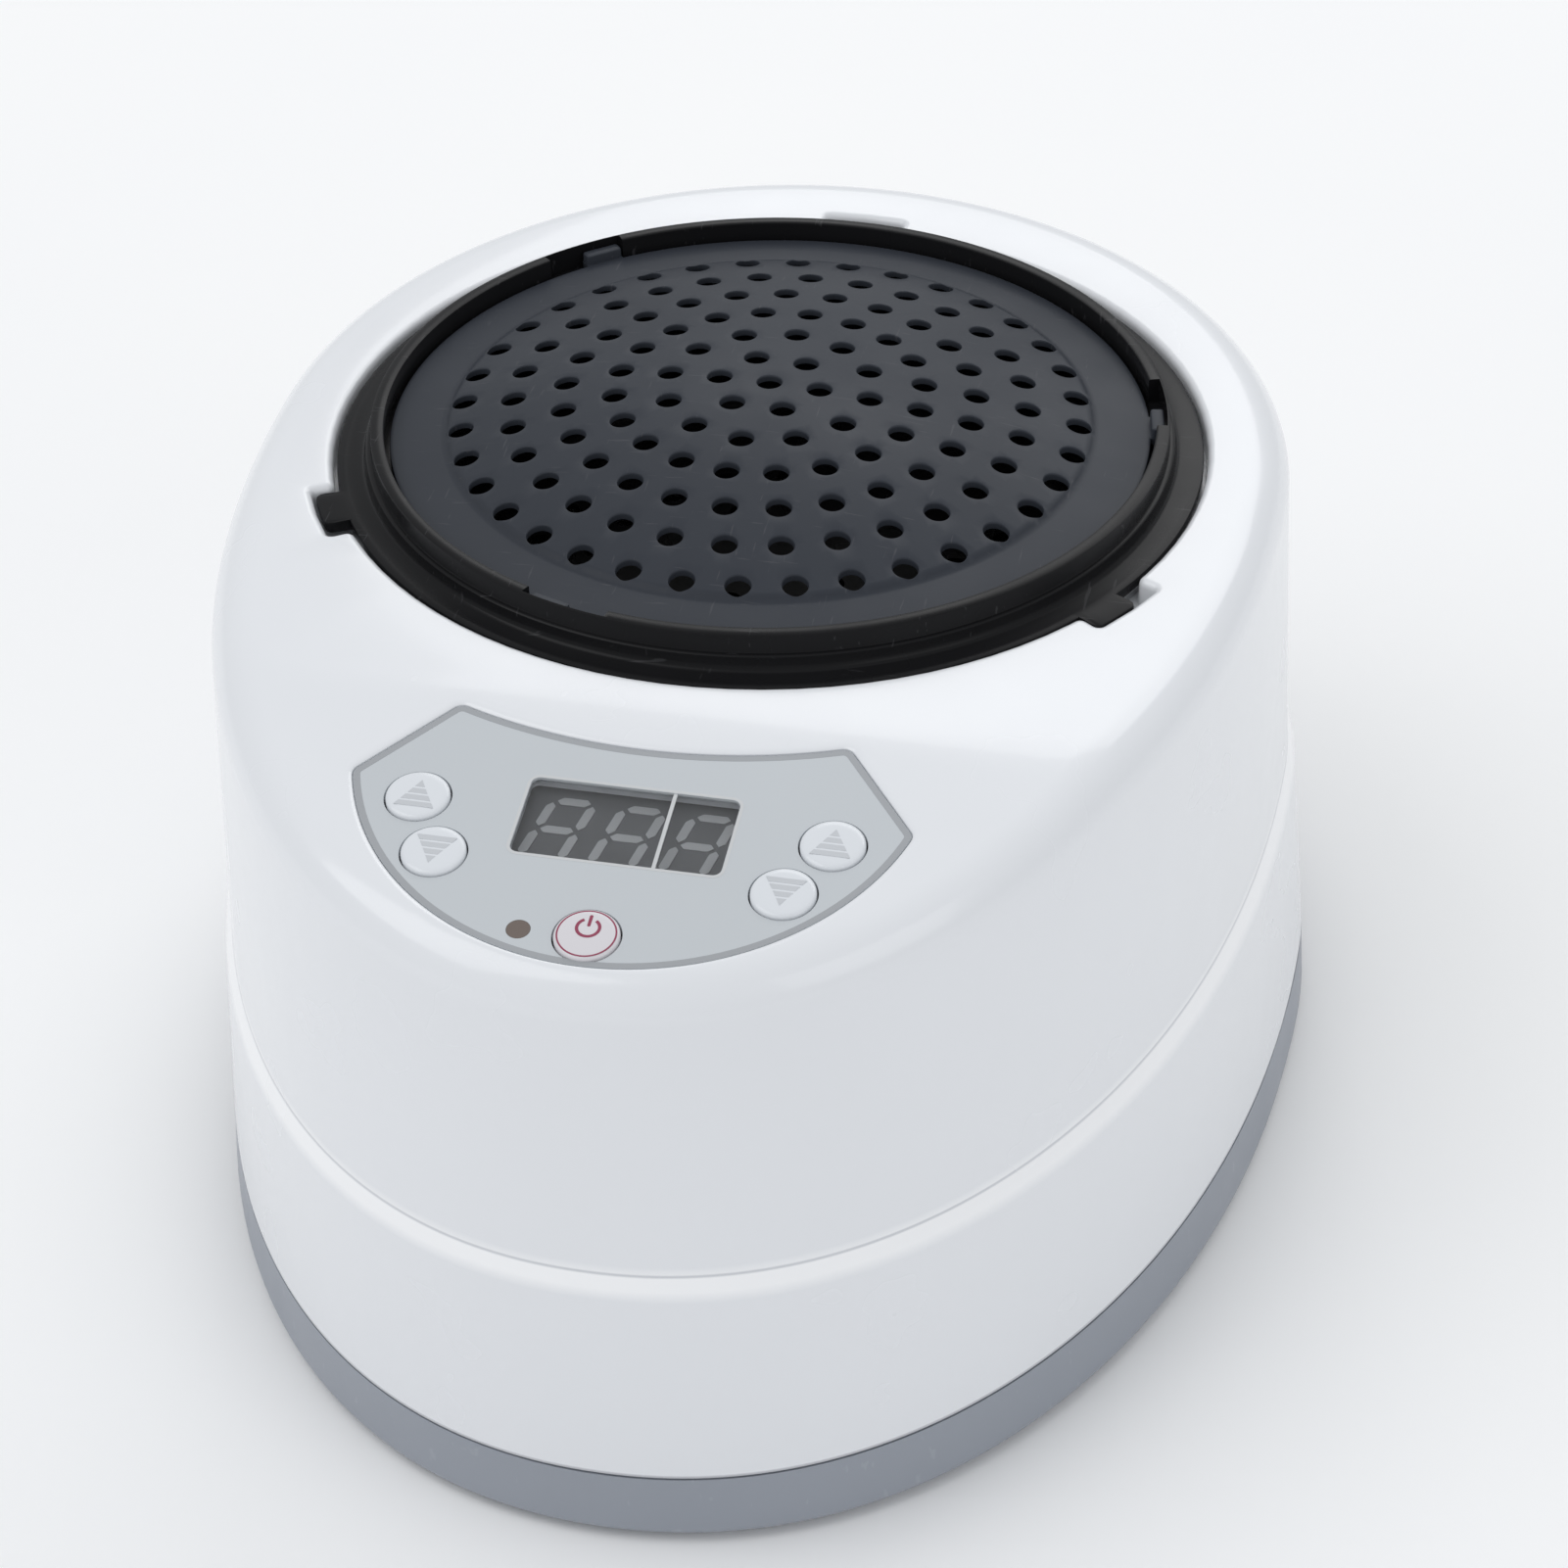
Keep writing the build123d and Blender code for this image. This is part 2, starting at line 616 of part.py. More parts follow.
def clamp_nut():
    """Hexagon nut under the clamp bar."""
    z = CLAMP_Z - NUT_H
    nut = extrude(RegularPolygon(4.6, 6), NUT_H)
    return (Pos(0, RING_Y, z) * nut) - peg(STUD_R + 0.05, z - 1, NUT_H + 2, 0, RING_Y)


def thermal_cutout():
    """Disc thermostat screwed to the heater plate's underside, with two blades."""
    z = HEATER_Z - CUTOUT_H
    y = RING_Y + CUTOUT_Y
    body = peg(8.0, z, CUTOUT_H, CUTOUT_X, y)
    body = fillet(body.edges().filter_by_position(Axis.Z, z - 0.1, z + 0.1), 1.2)
    for side in (-1, 1):
        body += block(0.8, 6.3, 8, CUTOUT_X + side * 4.5, y, z - 7)
    return body


def temperature_sensor():
    """Bead probe in a metal cap against the heater plate."""
    y = RING_Y + SENSOR_Y
    cap = peg(3.0, HEATER_Z - 12, 12, SENSOR_X, y)
    return cap + peg(4.2, HEATER_Z - 4, 1.2, SENSOR_X, y)


def heat_shield():
    """Thin metal sleeve between the pot and the housing, set in the tray's channel."""
    sleeve = ring(SHIELD_R, SHIELD_R - SHIELD_T, SHIELD_Z, SHIELD_TOP_Z - SHIELD_Z)
    for side in (-1, 1):
        sleeve -= block(26, 12, 20, 0, RING_Y + side * SHIELD_R, 8)
    return sleeve


# ---- collar, basket and lid ----
def collar_ring():
    """Black collar: flange with three tabs, raised rim with lug slots, inner skirt."""
    body = turned(
        [
            (SKIRT_R - SKIRT_T, FLANGE_Z - SKIRT_DROP),
            (SKIRT_R, FLANGE_Z - SKIRT_DROP),
            (SKIRT_R, FLANGE_Z),
            (FLANGE_R - 0.4, FLANGE_Z),
            (FLANGE_R, FLANGE_Z + 0.4),
            (FLANGE_R, FLANGE_TOP_Z - 0.4),
            (FLANGE_R - 0.4, FLANGE_TOP_Z),
            (RIM_BASE_R, FLANGE_TOP_Z),
            (RIM_BASE_R - 0.8, FLANGE_TOP_Z + 0.5),
            (RIM_BASE_R - 1.1, FLANGE_TOP_Z + RIM_STEP_H),
            (RIM_R, FLANGE_TOP_Z + RIM_STEP_H + 0.3),
            (RIM_R, RIM_TOP_Z - 0.8),
            (RIM_R - 0.8, RIM_TOP_Z),
            (RIM_BORE_R + 0.4, RIM_TOP_Z),
            (RIM_BORE_R, RIM_TOP_Z - 0.4),
            (RIM_BORE_R, COLLAR_SEAT_Z),
            (SKIRT_R - SKIRT_T, COLLAR_SEAT_Z),
        ]
    )
    for i in range(TAB_COUNT):
        middle = TAB_ANGLE + 360 / TAB_COUNT * i
        tab = sector(TAB_R, FLANGE_R - 1.5, FLANGE_Z, FLANGE_T, middle, TAB_HALF_DEG)
        corners = tab.edges().filter_by(Axis.Z).sort_by_distance((0, RING_Y, FLANGE_Z))[-2:]
        body += fillet(corners, 1.2)
    for i in range(LUG_COUNT):
        middle = LUG_ANGLE + 360 / LUG_COUNT * i + LID_TURN_DEG / 2
        half = LUG_HALF_DEG + LID_TURN_DEG / 2 + LUG_PLAY_DEG
        body -= sector(LUG_R + BODY_GAP, RIM_BORE_R - 1, LID_Z - BODY_GAP, 20, middle, half)
    return body


def collar_seal():
    """Lip seal on the collar's skirt, just clear of the pot."""
    return ring(SKIRT_R + LIP_SEAL_W, SKIRT_R, FLANGE_Z - SKIRT_DROP + 2, 3)


def herb_basket():
    """Perforated cup that hangs in the collar."""
    cup = ring(BASKET_R, 0, BASKET_FLOOR_Z, BASKET_TOP_Z - BASKET_FLOOR_Z)
    low = cup.edges().filter_by_position(Axis.Z, BASKET_FLOOR_Z - 0.1, BASKET_FLOOR_Z + 0.1)
    cup = fillet(low, 4.0)
    cup += ring(BASKET_FLANGE_R, 0, BASKET_Z, BASKET_FLANGE_T)
    hollow = ring(BASKET_R - BASKET_T, 0, BASKET_FLOOR_Z + BASKET_T, 60)
    low = hollow.edges().filter_by_position(
        Axis.Z, BASKET_FLOOR_Z + BASKET_T - 0.1, BASKET_FLOOR_Z + BASKET_T + 0.1
    )
    cup -= fillet(low, 2.6)
    holes = hole_field(BASKET_HOLE_COUNTS, BASKET_HOLE_PITCH, BASKET_HOLE_R, BASKET_FLOOR_Z - 2, 6)
    return cup - holes


def hole_field(counts, pitch, radius, z, height):
    """One hole on the ring axis and rings of evenly spaced holes about it."""
    pegs = [peg(radius, z, height, 0, RING_Y)]
    for k, count in enumerate(counts, start=1):
        for i in range(count):
            turn = math.radians(HOLE_TURN_DEG + 360 / count * i)
            x = pitch * k * math.cos(turn)
            y = RING_Y + pitch * k * math.sin(turn)
            pegs.append(peg(radius, z, height, x, y))
    return pegs


def lid_seal():
    """Thin ring on the basket's flange that turns with the lid."""
    return ring(LID_R - 0.4, LID_R - 2.6, SEAL_Z, SEAL_T)


def herb_lid():
    """Domed perforated lid with a flat margin and three lugs."""
    edge_z = CROWN_Z - DOME_RISE * (DOME_EDGE_R / (HOLE_PITCH_R * len(HOLE_COUNTS))) ** 2
    arch_top = dome_arc(edge_z, DOME_EDGE_R, CROWN_Z)
    arch_low = dome_arc(edge_z - LID_T, DOME_EDGE_R - 0.4, CROWN_Z - LID_T)
    foot_z = LID_EDGE_Z + LID_RISE
    outer = [
        (DOME_EDGE_R, edge_z),
        (DOME_FOOT_R, foot_z),
        (LID_R - 0.4, LID_EDGE_Z),
        (LID_R, LID_EDGE_Z - 0.4),
        (LID_R, LID_Z),
        (DOME_FOOT_R - 0.4, foot_z - LID_T),
        (DOME_EDGE_R - 0.4, edge_z - LID_T),
    ]
    line = Polyline(*outer)
    axis_line = Line((0, CROWN_Z), (0, CROWN_Z - LID_T))
    face = make_face(Plane.XZ * Wire([arch_top, *line.edges(), arch_low, axis_line]))
    lid = RING * revolve(face, Axis.Z, 360)
    for i in range(LUG_COUNT):
        middle = LUG_ANGLE + 360 / LUG_COUNT * i
        lid += sector(LUG_R, LID_R - 1.0, LID_Z, LID_T, middle, LUG_HALF_DEG)
    return lid - hole_field(HOLE_COUNTS, HOLE_PITCH_R, HOLE_R, LID_Z - 5, 30)


def dome_arc(edge_z, edge_r, crown_z):
    """Arc in (radius, z) from the crown on the axis to the dome's edge."""
    rise = crown_z - edge_z
    radius = (edge_r**2 + rise**2) / (2 * rise)
    half = math.asin(edge_r / radius) / 2
    middle = (radius * math.sin(half), crown_z - radius * (1 - math.cos(half)))
    return ThreePointArc((0, crown_z), middle, (edge_r, edge_z))


# ---- control panel ----
def panel_overlay():
    """Flexible front sheet with openings for the window, buttons and receiver."""
    sheet = extrude(PANEL * Pos(0, 0, -OVERLAY_T) * panel_outline(-0.1), OVERLAY_T)
    window = RectangleRounded(WINDOW_W, WINDOW_H, WINDOW_CORNER_R)
    sheet -= extrude(PANEL * Pos(WINDOW_X, WINDOW_S, -2) * window, 4)
    for x, s in BUTTONS.values():
        sheet -= on_panel(down_peg(BUTTON_R + BODY_GAP, 4), x, s, 2)
    return sheet - on_panel(down_peg(IR_R, 4), IR_X, IR_S, 2)


def display_lens():
    """Clear pane under the overlay's window."""
    pane = down_block(WINDOW_W + 2 * LENS_BORDER, WINDOW_H + 2 * LENS_BORDER, LENS_T)
    return on_panel(pane, WINDOW_X, WINDOW_S, -OVERLAY_T)


def display_module():
    """Three-digit display block on the control board, its face under the window."""
    height = BOARD_DEPTH - SHELL_UNDER - BODY_GAP
    body = down_block(WINDOW_W + 4, WINDOW_H + 3, height)
    body = chamfer(body.edges().group_by(Axis.Z)[-1], 0.5)
    return on_panel(body, WINDOW_X, WINDOW_S, -SHELL_UNDER - BODY_GAP)


def button(x, s):
    """Round key cap with a retaining lip below the housing and a stem over its switch."""
    cap = down_peg(BUTTON_R, SHELL_UNDER + BUTTON_PROUD + BODY_GAP)
    cap = fillet(cap.edges().group_by(Axis.Z)[-1], 0.45)
    cap = Pos(0, 0, BUTTON_PROUD) * cap
    lip = down_peg(BUTTON_R + BUTTON_LIP, BUTTON_LIP_T)
    cap += Pos(0, 0, -SHELL_UNDER - BODY_GAP) * lip
    stem_end = BOARD_DEPTH - SWITCH_H - PLUNGER_H - BUTTON_TRAVEL - BODY_GAP
    cap += down_peg(STEM_R, stem_end)
    return on_panel(cap, x, s, 0)


def tact_switches():
    """Five push switches on the control board, one under each key."""
    group = []
    for x, s in BUTTONS.values():
        body = down_block(SWITCH_W, SWITCH_W, SWITCH_H)
        body += Pos(0, 0, PLUNGER_H) * down_peg(PLUNGER_R, PLUNGER_H)
        group.append(on_panel(body, x, s, -BOARD_DEPTH + SWITCH_H))
    return group


def control_board():
    """Board parallel to the panel, screwed to the housing's posts."""
    board = extrude(PANEL * Pos(0, 0, -BOARD_DEPTH - BOARD_T) * panel_outline(-0.8), BOARD_T)
    for x, s in BOARD_POSTS:
        board -= on_panel(down_peg(1.3, 6), x, s, -BOARD_DEPTH + 2)
    return board


def board_screws():
    """Screws up through the control board into its posts."""
    drop = BOARD_DEPTH + BOARD_T + 1.4
    return [PANEL * Pos(x, s, -drop) * screw(5, 0.95, 2.2, 1.4) for x, s in BOARD_POSTS]


def ir_receiver():
    """Remote-control receiver on the board under its hole."""
    body = down_block(5.5, 4.4, BOARD_DEPTH - SHELL_UNDER - BODY_GAP)
    dome = Sphere(1.7)
    top = -SHELL_UNDER - BODY_GAP
    return on_panel(body, IR_X, IR_S, top) + on_panel(dome, IR_X, IR_S, top)


def ir_window():
    """Smoked plug in the overlay over the receiver."""
    plug = down_peg(IR_R - 0.05, OVERLAY_T)
    plug += Pos(0, 0, -OVERLAY_T) * down_peg(IR_R + 0.4, IR_SEAT_T)
    return on_panel(plug, IR_X, IR_S, 0)


def buzzer():
    """Sounder under the control board."""
    return on_panel(down_peg(6.0, 7.0), -14, -12, -BOARD_DEPTH - BOARD_T)


# ---- power electronics on the tray ----
def on_power_board(width, depth, height, x, y):
    return block(width, depth, height, x, POWER_BOARD_Y + y, POWER_BOARD_Z + BOARD_T)


def power_board():
    board = block(POWER_BOARD_W, POWER_BOARD_D, BOARD_T, 0, POWER_BOARD_Y, POWER_BOARD_Z)
    board = fillet(board.edges().filter_by(Axis.Z), 2.0)
    for x, y in mirrored_x(POWER_BOARD_POSTS):
        board -= peg(1.4, POWER_BOARD_Z - 2, 6, x, y + POWER_BOARD_Y)
    return board


def power_board_screws():
    group = []
    for x, y in mirrored_x(POWER_BOARD_POSTS):
        flipped = Rot(180, 0, 0) * screw(4.5, 1.05, 2.4, 1.6)
        group.append(Pos(x, y + POWER_BOARD_Y, POWER_BOARD_Z + BOARD_T + 1.6) * flipped)
    return group


def transformer():
    core = on_power_board(20, 18, 14, -21, 2)
    winding = on_power_board(14, 22, 10, -21, 2)
    return fillet(core.edges().filter_by(Axis.Z), 1.0) + winding


def relay():
    return chamfer(on_power_board(15, 19, 15.5, 0, 5).edges().group_by(Axis.Z)[-1], 0.8)


def capacitor():
    can = peg(5.0, POWER_BOARD_Z + BOARD_T, 16, -9.5, POWER_BOARD_Y - 14.5)
    return fillet(can.edges().group_by(Axis.Z)[-1], 0.8)


def triac():
    """Power switch bolted to the heat sink."""
    return on_power_board(10, 4.4, 15, HEAT_SINK_X, 2.45)


def heat_sink():
    """Finned plate that cools the power switch."""
    sink = on_power_board(22, 3, 20, HEAT_SINK_X, 6.2)
    for i in range(-2, 3):
        sink += on_power_board(1.4, 9, 20, HEAT_SINK_X + i * 5, 9.2)
    return sink


def terminal_block():
    body = on_power_board(30, 9, 10, TERMINAL_X, -13.5)
    for i in range(-1, 2):
        body -= peg(2.4, POWER_BOARD_Z + BOARD_T + 6, 6, TERMINAL_X + i * 9.5, POWER_BOARD_Y - 13.5)
    return body


# ---- power inlet ----
def power_inlet():
    """Appliance inlet in the back wall, open to the back, with two screw ears."""
    body_y = INLET_PAD_Y - INLET_DEPTH / 2
    flange_y = INLET_PAD_Y + INLET_FLANGE_T / 2
    flange_w = INLET_W + 2 * INLET_FLANGE
    flange_h = INLET_H + 2 * INLET_FLANGE
    body = block(INLET_W, INLET_DEPTH, INLET_H, 0, body_y, INLET_Z - INLET_H / 2)
    body += block(flange_w, INLET_FLANGE_T, flange_h, 0, flange_y, INLET_Z - flange_h / 2)
    body = fillet(body.edges().group_by(Axis.Y)[-1], 0.8)
    cavity_w = INLET_W - 2 * INLET_WALL
    cavity_h = INLET_H - 2 * INLET_WALL
    cavity_y = body_y + INLET_BACK
    body -= block(cavity_w, INLET_DEPTH, cavity_h, 0, cavity_y, INLET_Z - cavity_h / 2)
    return body - pin_blades(0.05)


def pin_blades(grow=0.0):
    """Three blades from behind the inlet to just inside its mouth."""
    blades = []
    length = INLET_DEPTH + 1.0
    middle_y = INLET_PAD_Y - INLET_DEPTH - PIN_TAIL + length / 2
    height = PIN_H + 2 * grow
    for x, z in PIN_PLACES:
        blades.append(block(PIN_W + 2 * grow, length, height, x, middle_y, INLET_Z + z - height / 2))
    return blades


def make_all():
    os.makedirs("parts", exist_ok=True)
    save("upper_shell", upper_shell())
    save("base_tray", base_tray())
    save("rubber_feet", *feet())
    save("base_screws", *base_screws())
    save("water_pot", water_pot())
    save("pot_gasket", pot_gasket())
    save("heater_plate", heater_plate())
    save("heater_element", heater_element())
    save("clamp_bar", clamp_bar())
    save("clamp_stud", clamp_stud())
    save("clamp_nut", clamp_nut())
    save("thermal_cutout", thermal_cutout())
    save("temperature_sensor", temperature_sensor())
    save("heat_shield", heat_shield())
    save("collar_ring", collar_ring())
    save("collar_seal", collar_seal())
    save("herb_basket", herb_basket())
    save("lid_seal", lid_seal())
    save("herb_lid", herb_lid())
    save("panel_overlay", panel_overlay())
    save("display_lens", display_lens())
    save("display_module", display_module())
    for name, place in BUTTONS.items():
        save(name, button(*place))
    save("tact_switches", *tact_switches())
    save("control_board", control_board())
    save("board_screws", *board_screws())
    save("ir_receiver", ir_receiver())
    save("ir_window", ir_window())
    save("buzzer", buzzer())
    save("power_board", power_board())
    save("power_board_screws", *power_board_screws())
    save("transformer", transformer())
    save("relay", relay())
    save("capacitor", capacitor())
    save("triac", triac())
    save("heat_sink", heat_sink())
    save("terminal_block", terminal_block())
    save("power_inlet", power_inlet())
    save("inlet_pins", *pin_blades())


make_all()
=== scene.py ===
import json
import math

import bmesh
import bpy
from mathutils import Matrix, Vector
from mathutils.geometry import delaunay_2d_cdt


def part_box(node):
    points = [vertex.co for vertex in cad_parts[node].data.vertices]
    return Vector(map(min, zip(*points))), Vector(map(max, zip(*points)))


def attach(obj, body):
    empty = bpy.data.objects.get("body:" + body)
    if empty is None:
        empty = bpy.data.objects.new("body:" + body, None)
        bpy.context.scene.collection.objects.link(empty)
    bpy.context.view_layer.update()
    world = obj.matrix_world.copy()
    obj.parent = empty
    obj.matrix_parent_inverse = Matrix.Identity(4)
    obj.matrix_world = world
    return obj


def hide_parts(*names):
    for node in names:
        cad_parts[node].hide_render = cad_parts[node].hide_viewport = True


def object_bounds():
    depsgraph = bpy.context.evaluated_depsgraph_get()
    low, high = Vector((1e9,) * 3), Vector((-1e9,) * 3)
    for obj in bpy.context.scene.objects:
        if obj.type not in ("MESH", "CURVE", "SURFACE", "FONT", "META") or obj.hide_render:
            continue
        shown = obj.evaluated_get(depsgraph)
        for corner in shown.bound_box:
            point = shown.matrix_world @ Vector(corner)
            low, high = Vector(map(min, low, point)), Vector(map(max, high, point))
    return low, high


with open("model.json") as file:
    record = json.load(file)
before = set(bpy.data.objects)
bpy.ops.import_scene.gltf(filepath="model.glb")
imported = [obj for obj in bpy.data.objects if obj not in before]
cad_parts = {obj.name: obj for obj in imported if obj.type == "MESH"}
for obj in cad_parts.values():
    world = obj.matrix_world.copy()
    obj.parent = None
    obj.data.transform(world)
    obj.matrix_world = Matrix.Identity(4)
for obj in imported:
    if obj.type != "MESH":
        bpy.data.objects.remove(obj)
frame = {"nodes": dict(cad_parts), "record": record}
CAD_LOW, CAD_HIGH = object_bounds()

# Lengths below are millimetres; MM turns them into scene units.
MM = 0.001
# Edges that turn by more than this many degrees are drawn sharp.
SHARP = 28.0
# Smallest distance that the triangulation keeps apart.
NEAR = 1e-5
RING_COUNT = 256


def span(node):
    """Lowest and highest corner of a CAD node, in millimetres."""
    low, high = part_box(node)
    return low / MM, high / MM


# ---- places read from the frame ----
SHELL_LOW, SHELL_HIGH = span("upper_shell")
COLLAR_LOW, COLLAR_HIGH = span("collar_ring")
LID_LOW, LID_HIGH = span("herb_lid")
SEAL_LOW, SEAL_HIGH = span("lid_seal")
INLET_LOW, INLET_HIGH = span("power_inlet")
RING_X = (SEAL_LOW.x + SEAL_HIGH.x) / 2
RING_Y = (SEAL_LOW.y + SEAL_HIGH.y) / 2
TOP_Z = SHELL_HIGH.z
PARTING_Z = SHELL_LOW.z
LEDGE_Z = span("pot_gasket")[0].z
HALF_W = (CAD_HIGH.x - CAD_LOW.x) / MM / 2
FRONT_Y = SHELL_LOW.y
BACK_Y = SHELL_HIGH.y

# ---- housing ----
SHOULDER_Z = 57.0
CREASE_Z = 60.6
SHOULDER_R = 11.0
CREASE_R = 0.5
TOP_EDGE_R = 8.0
EDGE_STEPS = 14
EDGE_SPLIT = 8
WALL = 2.8
TOP_PLATE = 3.0
SLOPE = math.radians(9.5)
SLOPE_START_Y = -66.5
SLOPE_BLEND_R = 60.0
BEND_BAND = (SLOPE_START_Y - 6, SLOPE_START_Y + 6)
FRONT_POWER = 2.1
RECESS_R = 76.6
RECESS_LIP = 1.4
LEDGE_R = 70.5
LEDGE_T = 2.5
TAB_ROOM_R = 80.9
TAB_ANGLE = 87.5
TAB_PLAY = 3.0
TAB_GAP = 0.4
TAB_HALF = 3.5
CUP_R = 82.3
# Shares of the wall's lower and upper straight stretches where a row of points lies.
LOWER_ROWS = (0.0, 0.02, 0.25, 0.5, 0.75, 0.9)
UPPER_ROWS = (0.03, 0.07, 0.2, 0.35, 0.5, 0.65, 0.78, 0.84)
TURN_COUNT = 300
LIP_TURNS = [math.radians(15 * k) for k in range(7)]

INLET_FLANGE = 2.5
INLET_FLANGE_T = 2.0
INLET_GAP = 0.3
INLET_PAD_T = 3.0
# The pad follows the leaning wall: its reach past the seat at its foot and at its head.
PAD_FOOT = 1.4
PAD_HEAD = -1.6
CUT_OUT = 20.0
CUT_PAST = 5.0

# ---- collar ----
FLANGE_R = 75.9
TAB_R = 80.2
RIM_R = 69.8
RIM_BORE_R = 67.4
SKIRT_R = 65.4
SKIRT_T = 1.4
FLANGE_Z = COLLAR_LOW.z + 11.0
FLANGE_TOP_Z = FLANGE_Z + 2.0
RIM_TOP_Z = COLLAR_HIGH.z
SEAT_Z = FLANGE_TOP_Z - 0.2
# (radius, height over the flange) up the hollow wall, then over its step to the rim.
COVE = (
    (71.75, 0.0), (71.35, 0.18), (71.08, 0.5), (70.9, 1.1),
    (70.75, 2.0), (70.7, 2.45), (70.55, 2.6), (70.2, 2.7),
)
EDGE_SOFT = 0.35
TAB_CORNER_R = 1.2
TAB_FLANK = 0.72
STOP_STEP = 1.25
LUG_ANGLE = 9.8
LUG_HALF = 3.1
LUG_PLAY = 0.4
LID_TURN = 6.0
LUG_ROOM_R = 69.3

# ---- lid ----
LID_R = 66.5
LUG_R = 69.0
LID_Z = LID_LOW.z
LID_T = 1.2
GRIP_Z = LID_Z + 3.0
LUG_CORNER = 0.45
CROWN_Z = LID_HIGH.z
DOME_EDGE_R = 55.8
DOME_FOOT_R = 57.0
DOME_DROP = 6.94
MARGIN_RISE = 0.7
# Radii of the rings of points that carry the dome's edge and the margin round it.
LID_RINGS = (DOME_FOOT_R + 0.7, DOME_FOOT_R, 56.4, DOME_EDGE_R, 55.3, 60.0, 63.0)
CROWN_STEP = 2.5
HOLE_COUNTS = (6, 12, 20, 25, 30, 36)
HOLE_PITCH = 9.0
HOLE_R = 2.2
HOLE_EDGE = 0.28
HOLE_TURN = -3.5
HOLE_POINTS = 28
# (share of the softened edge's width, depth) down into a hole.
HOLE_ROUND = ((1.0, 0.0), (0.45, 0.05), (0.1, 0.17), (0.0, 0.36))

# ---- control panel: x across, s up the slope, h above the overlay ----
PANEL_DOWN_Y = 8.0
PANEL_SINK = 0.5
PANEL_TOP_X = 31.6
PANEL_TOP_S = 5.5
PANEL_SIDE_X = 44.8
PANEL_SIDE_S = -11.4
PANEL_BOTTOM_S = -45.6
PANEL_DIP = 5.4
PANEL_CORNER_R = 2.0
PANEL_LIP = 1.3
PANEL_GAP = 0.1
OVERLAY_T = 0.5
WINDOW = (0.5, -16.3, 33.4, 16.0, 1.4)
LENS_ROOM = (0.5, -16.3, 36.7, 19.3, 0.4)
WELL = (0.5, -16.3, 34.0, 16.6, 1.2)
LENS_ROOM_T = 0.6
DISPLAY_H = -3.2
BUTTON_R = 5.1
BUTTON_GAP = 0.3
BUTTONS = {
    "timer_up_button": (-33.0, -15.4, "up"),
    "timer_down_button": (-27.5, -26.4, "down"),
    "heat_up_button": (33.0, -15.4, "up"),
    "heat_down_button": (27.5, -26.4, "down"),
    "power_button": (0.0, -39.5, "power"),
}
# (radius, height) from the middle of a key's top down to its stem's foot.
KEY_PROFILE = (
    (0, 0.74), (2.0, 0.735), (3.6, 0.71), (4.35, 0.66), (4.75, 0.55), (4.98, 0.38), (BUTTON_R, 0.15),
    (BUTTON_R, -3.2), (BUTTON_R + 0.85, -3.2), (BUTTON_R + 0.85, -4.0), (1.6, -4.0), (1.6, -5.7), (0, -5.7),
)
KEY_SINK = 0.04
KEY_PRINT_H = 0.70
PRINT_T = 0.03
# (top, bottom) of each bar of an arrow, whose point is at the first top.
ARROW_BARS = ((2.9, 1.5), (1.1, 0.1), (-0.3, -1.3), (-1.7, -2.7))
ARROW_LEAN = 3.2 / 5.6
# How far the printed ring's two edges lie inside the power key's edge.
KEY_RING = (0.45, 0.85)
SIGN_R = 2.0
SIGN_W = 0.5
SIGN_RISE = 1.1
SIGN_GAP = math.radians(32)
IR_PLACE = (-10.6, -39.8)
IR_R = 1.9
IR_GAP = 0.5

DIGIT_TALL = 12.4
DIGIT_WIDE = 6.4
DIGIT_PITCH = 11.2
DIGIT_LEAN = math.tan(math.radians(12))
DIGIT_T = 0.12
SEGMENT_W = 1.5
SEGMENT_END = 0.55
SEGMENT_GAP = 0.5
BAR_HALF = 0.3

PANEL_Y = SLOPE_START_Y - PANEL_DOWN_Y
PANEL_Z = TOP_Z - PANEL_DOWN_Y * math.tan(SLOPE) - PANEL_SINK
PANEL_S = Vector((0, math.cos(SLOPE), math.sin(SLOPE)))
PANEL_N = Vector((0, -math.sin(SLOPE), math.cos(SLOPE)))


# ---- plane geometry ----
def on_panel(x, s, h=0.0):
    """Place of a point given across, up the slope and above the overlay."""
    return Vector((x, PANEL_Y, PANEL_Z)) + PANEL_S * s + PANEL_N * h


def round_corners(points, steps=6):
    """Closed outline from (x, y, radius) corners, each rounded by its own radius."""
    out = []
    count = len(points)
    for i, (x, y, radius) in enumerate(points):
        here = Vector((x, y))
        if radius <= 0:
            out.append(here)
            continue
        before = (Vector(points[i - 1][:2]) - here).normalized()
        after = (Vector(points[(i + 1) % count][:2]) - here).normalized()
        out.extend(corner_arc(here, before, after, radius, steps))
    return out


def corner_arc(corner, toward_a, toward_b, radius, steps):
    """Points of the round between two directions that leave a corner."""
    half = toward_a.angle(toward_b) / 2
    reach = radius / math.tan(half)
    start = corner + toward_a * reach
    end = corner + toward_b * reach
    centre = corner + (toward_a + toward_b).normalized() * (radius / math.sin(half))
    first = start - centre
    last = end - centre
    turn = first.angle(last)
    arc = []
    for i in range(steps + 1):
        t = i / steps
        mix = (first * math.sin((1 - t) * turn) + last * math.sin(t * turn)) / math.sin(turn)
        arc.append(centre + mix)
    return arc


def grown(outline, distance):
    """A closed outline moved outward by a distance; the outline runs anticlockwise."""
    out = []
    count = len(outline)
    for i, point in enumerate(outline):
        a = (point - outline[i - 1]).normalized()
        b = (outline[(i + 1) % count] - point).normalized()
        side_a = Vector((a.y, -a.x))
        side_b = Vector((b.y, -b.x))
        middle = side_a + side_b
        out.append(point + middle * (2 * distance / middle.length_squared))
    return out


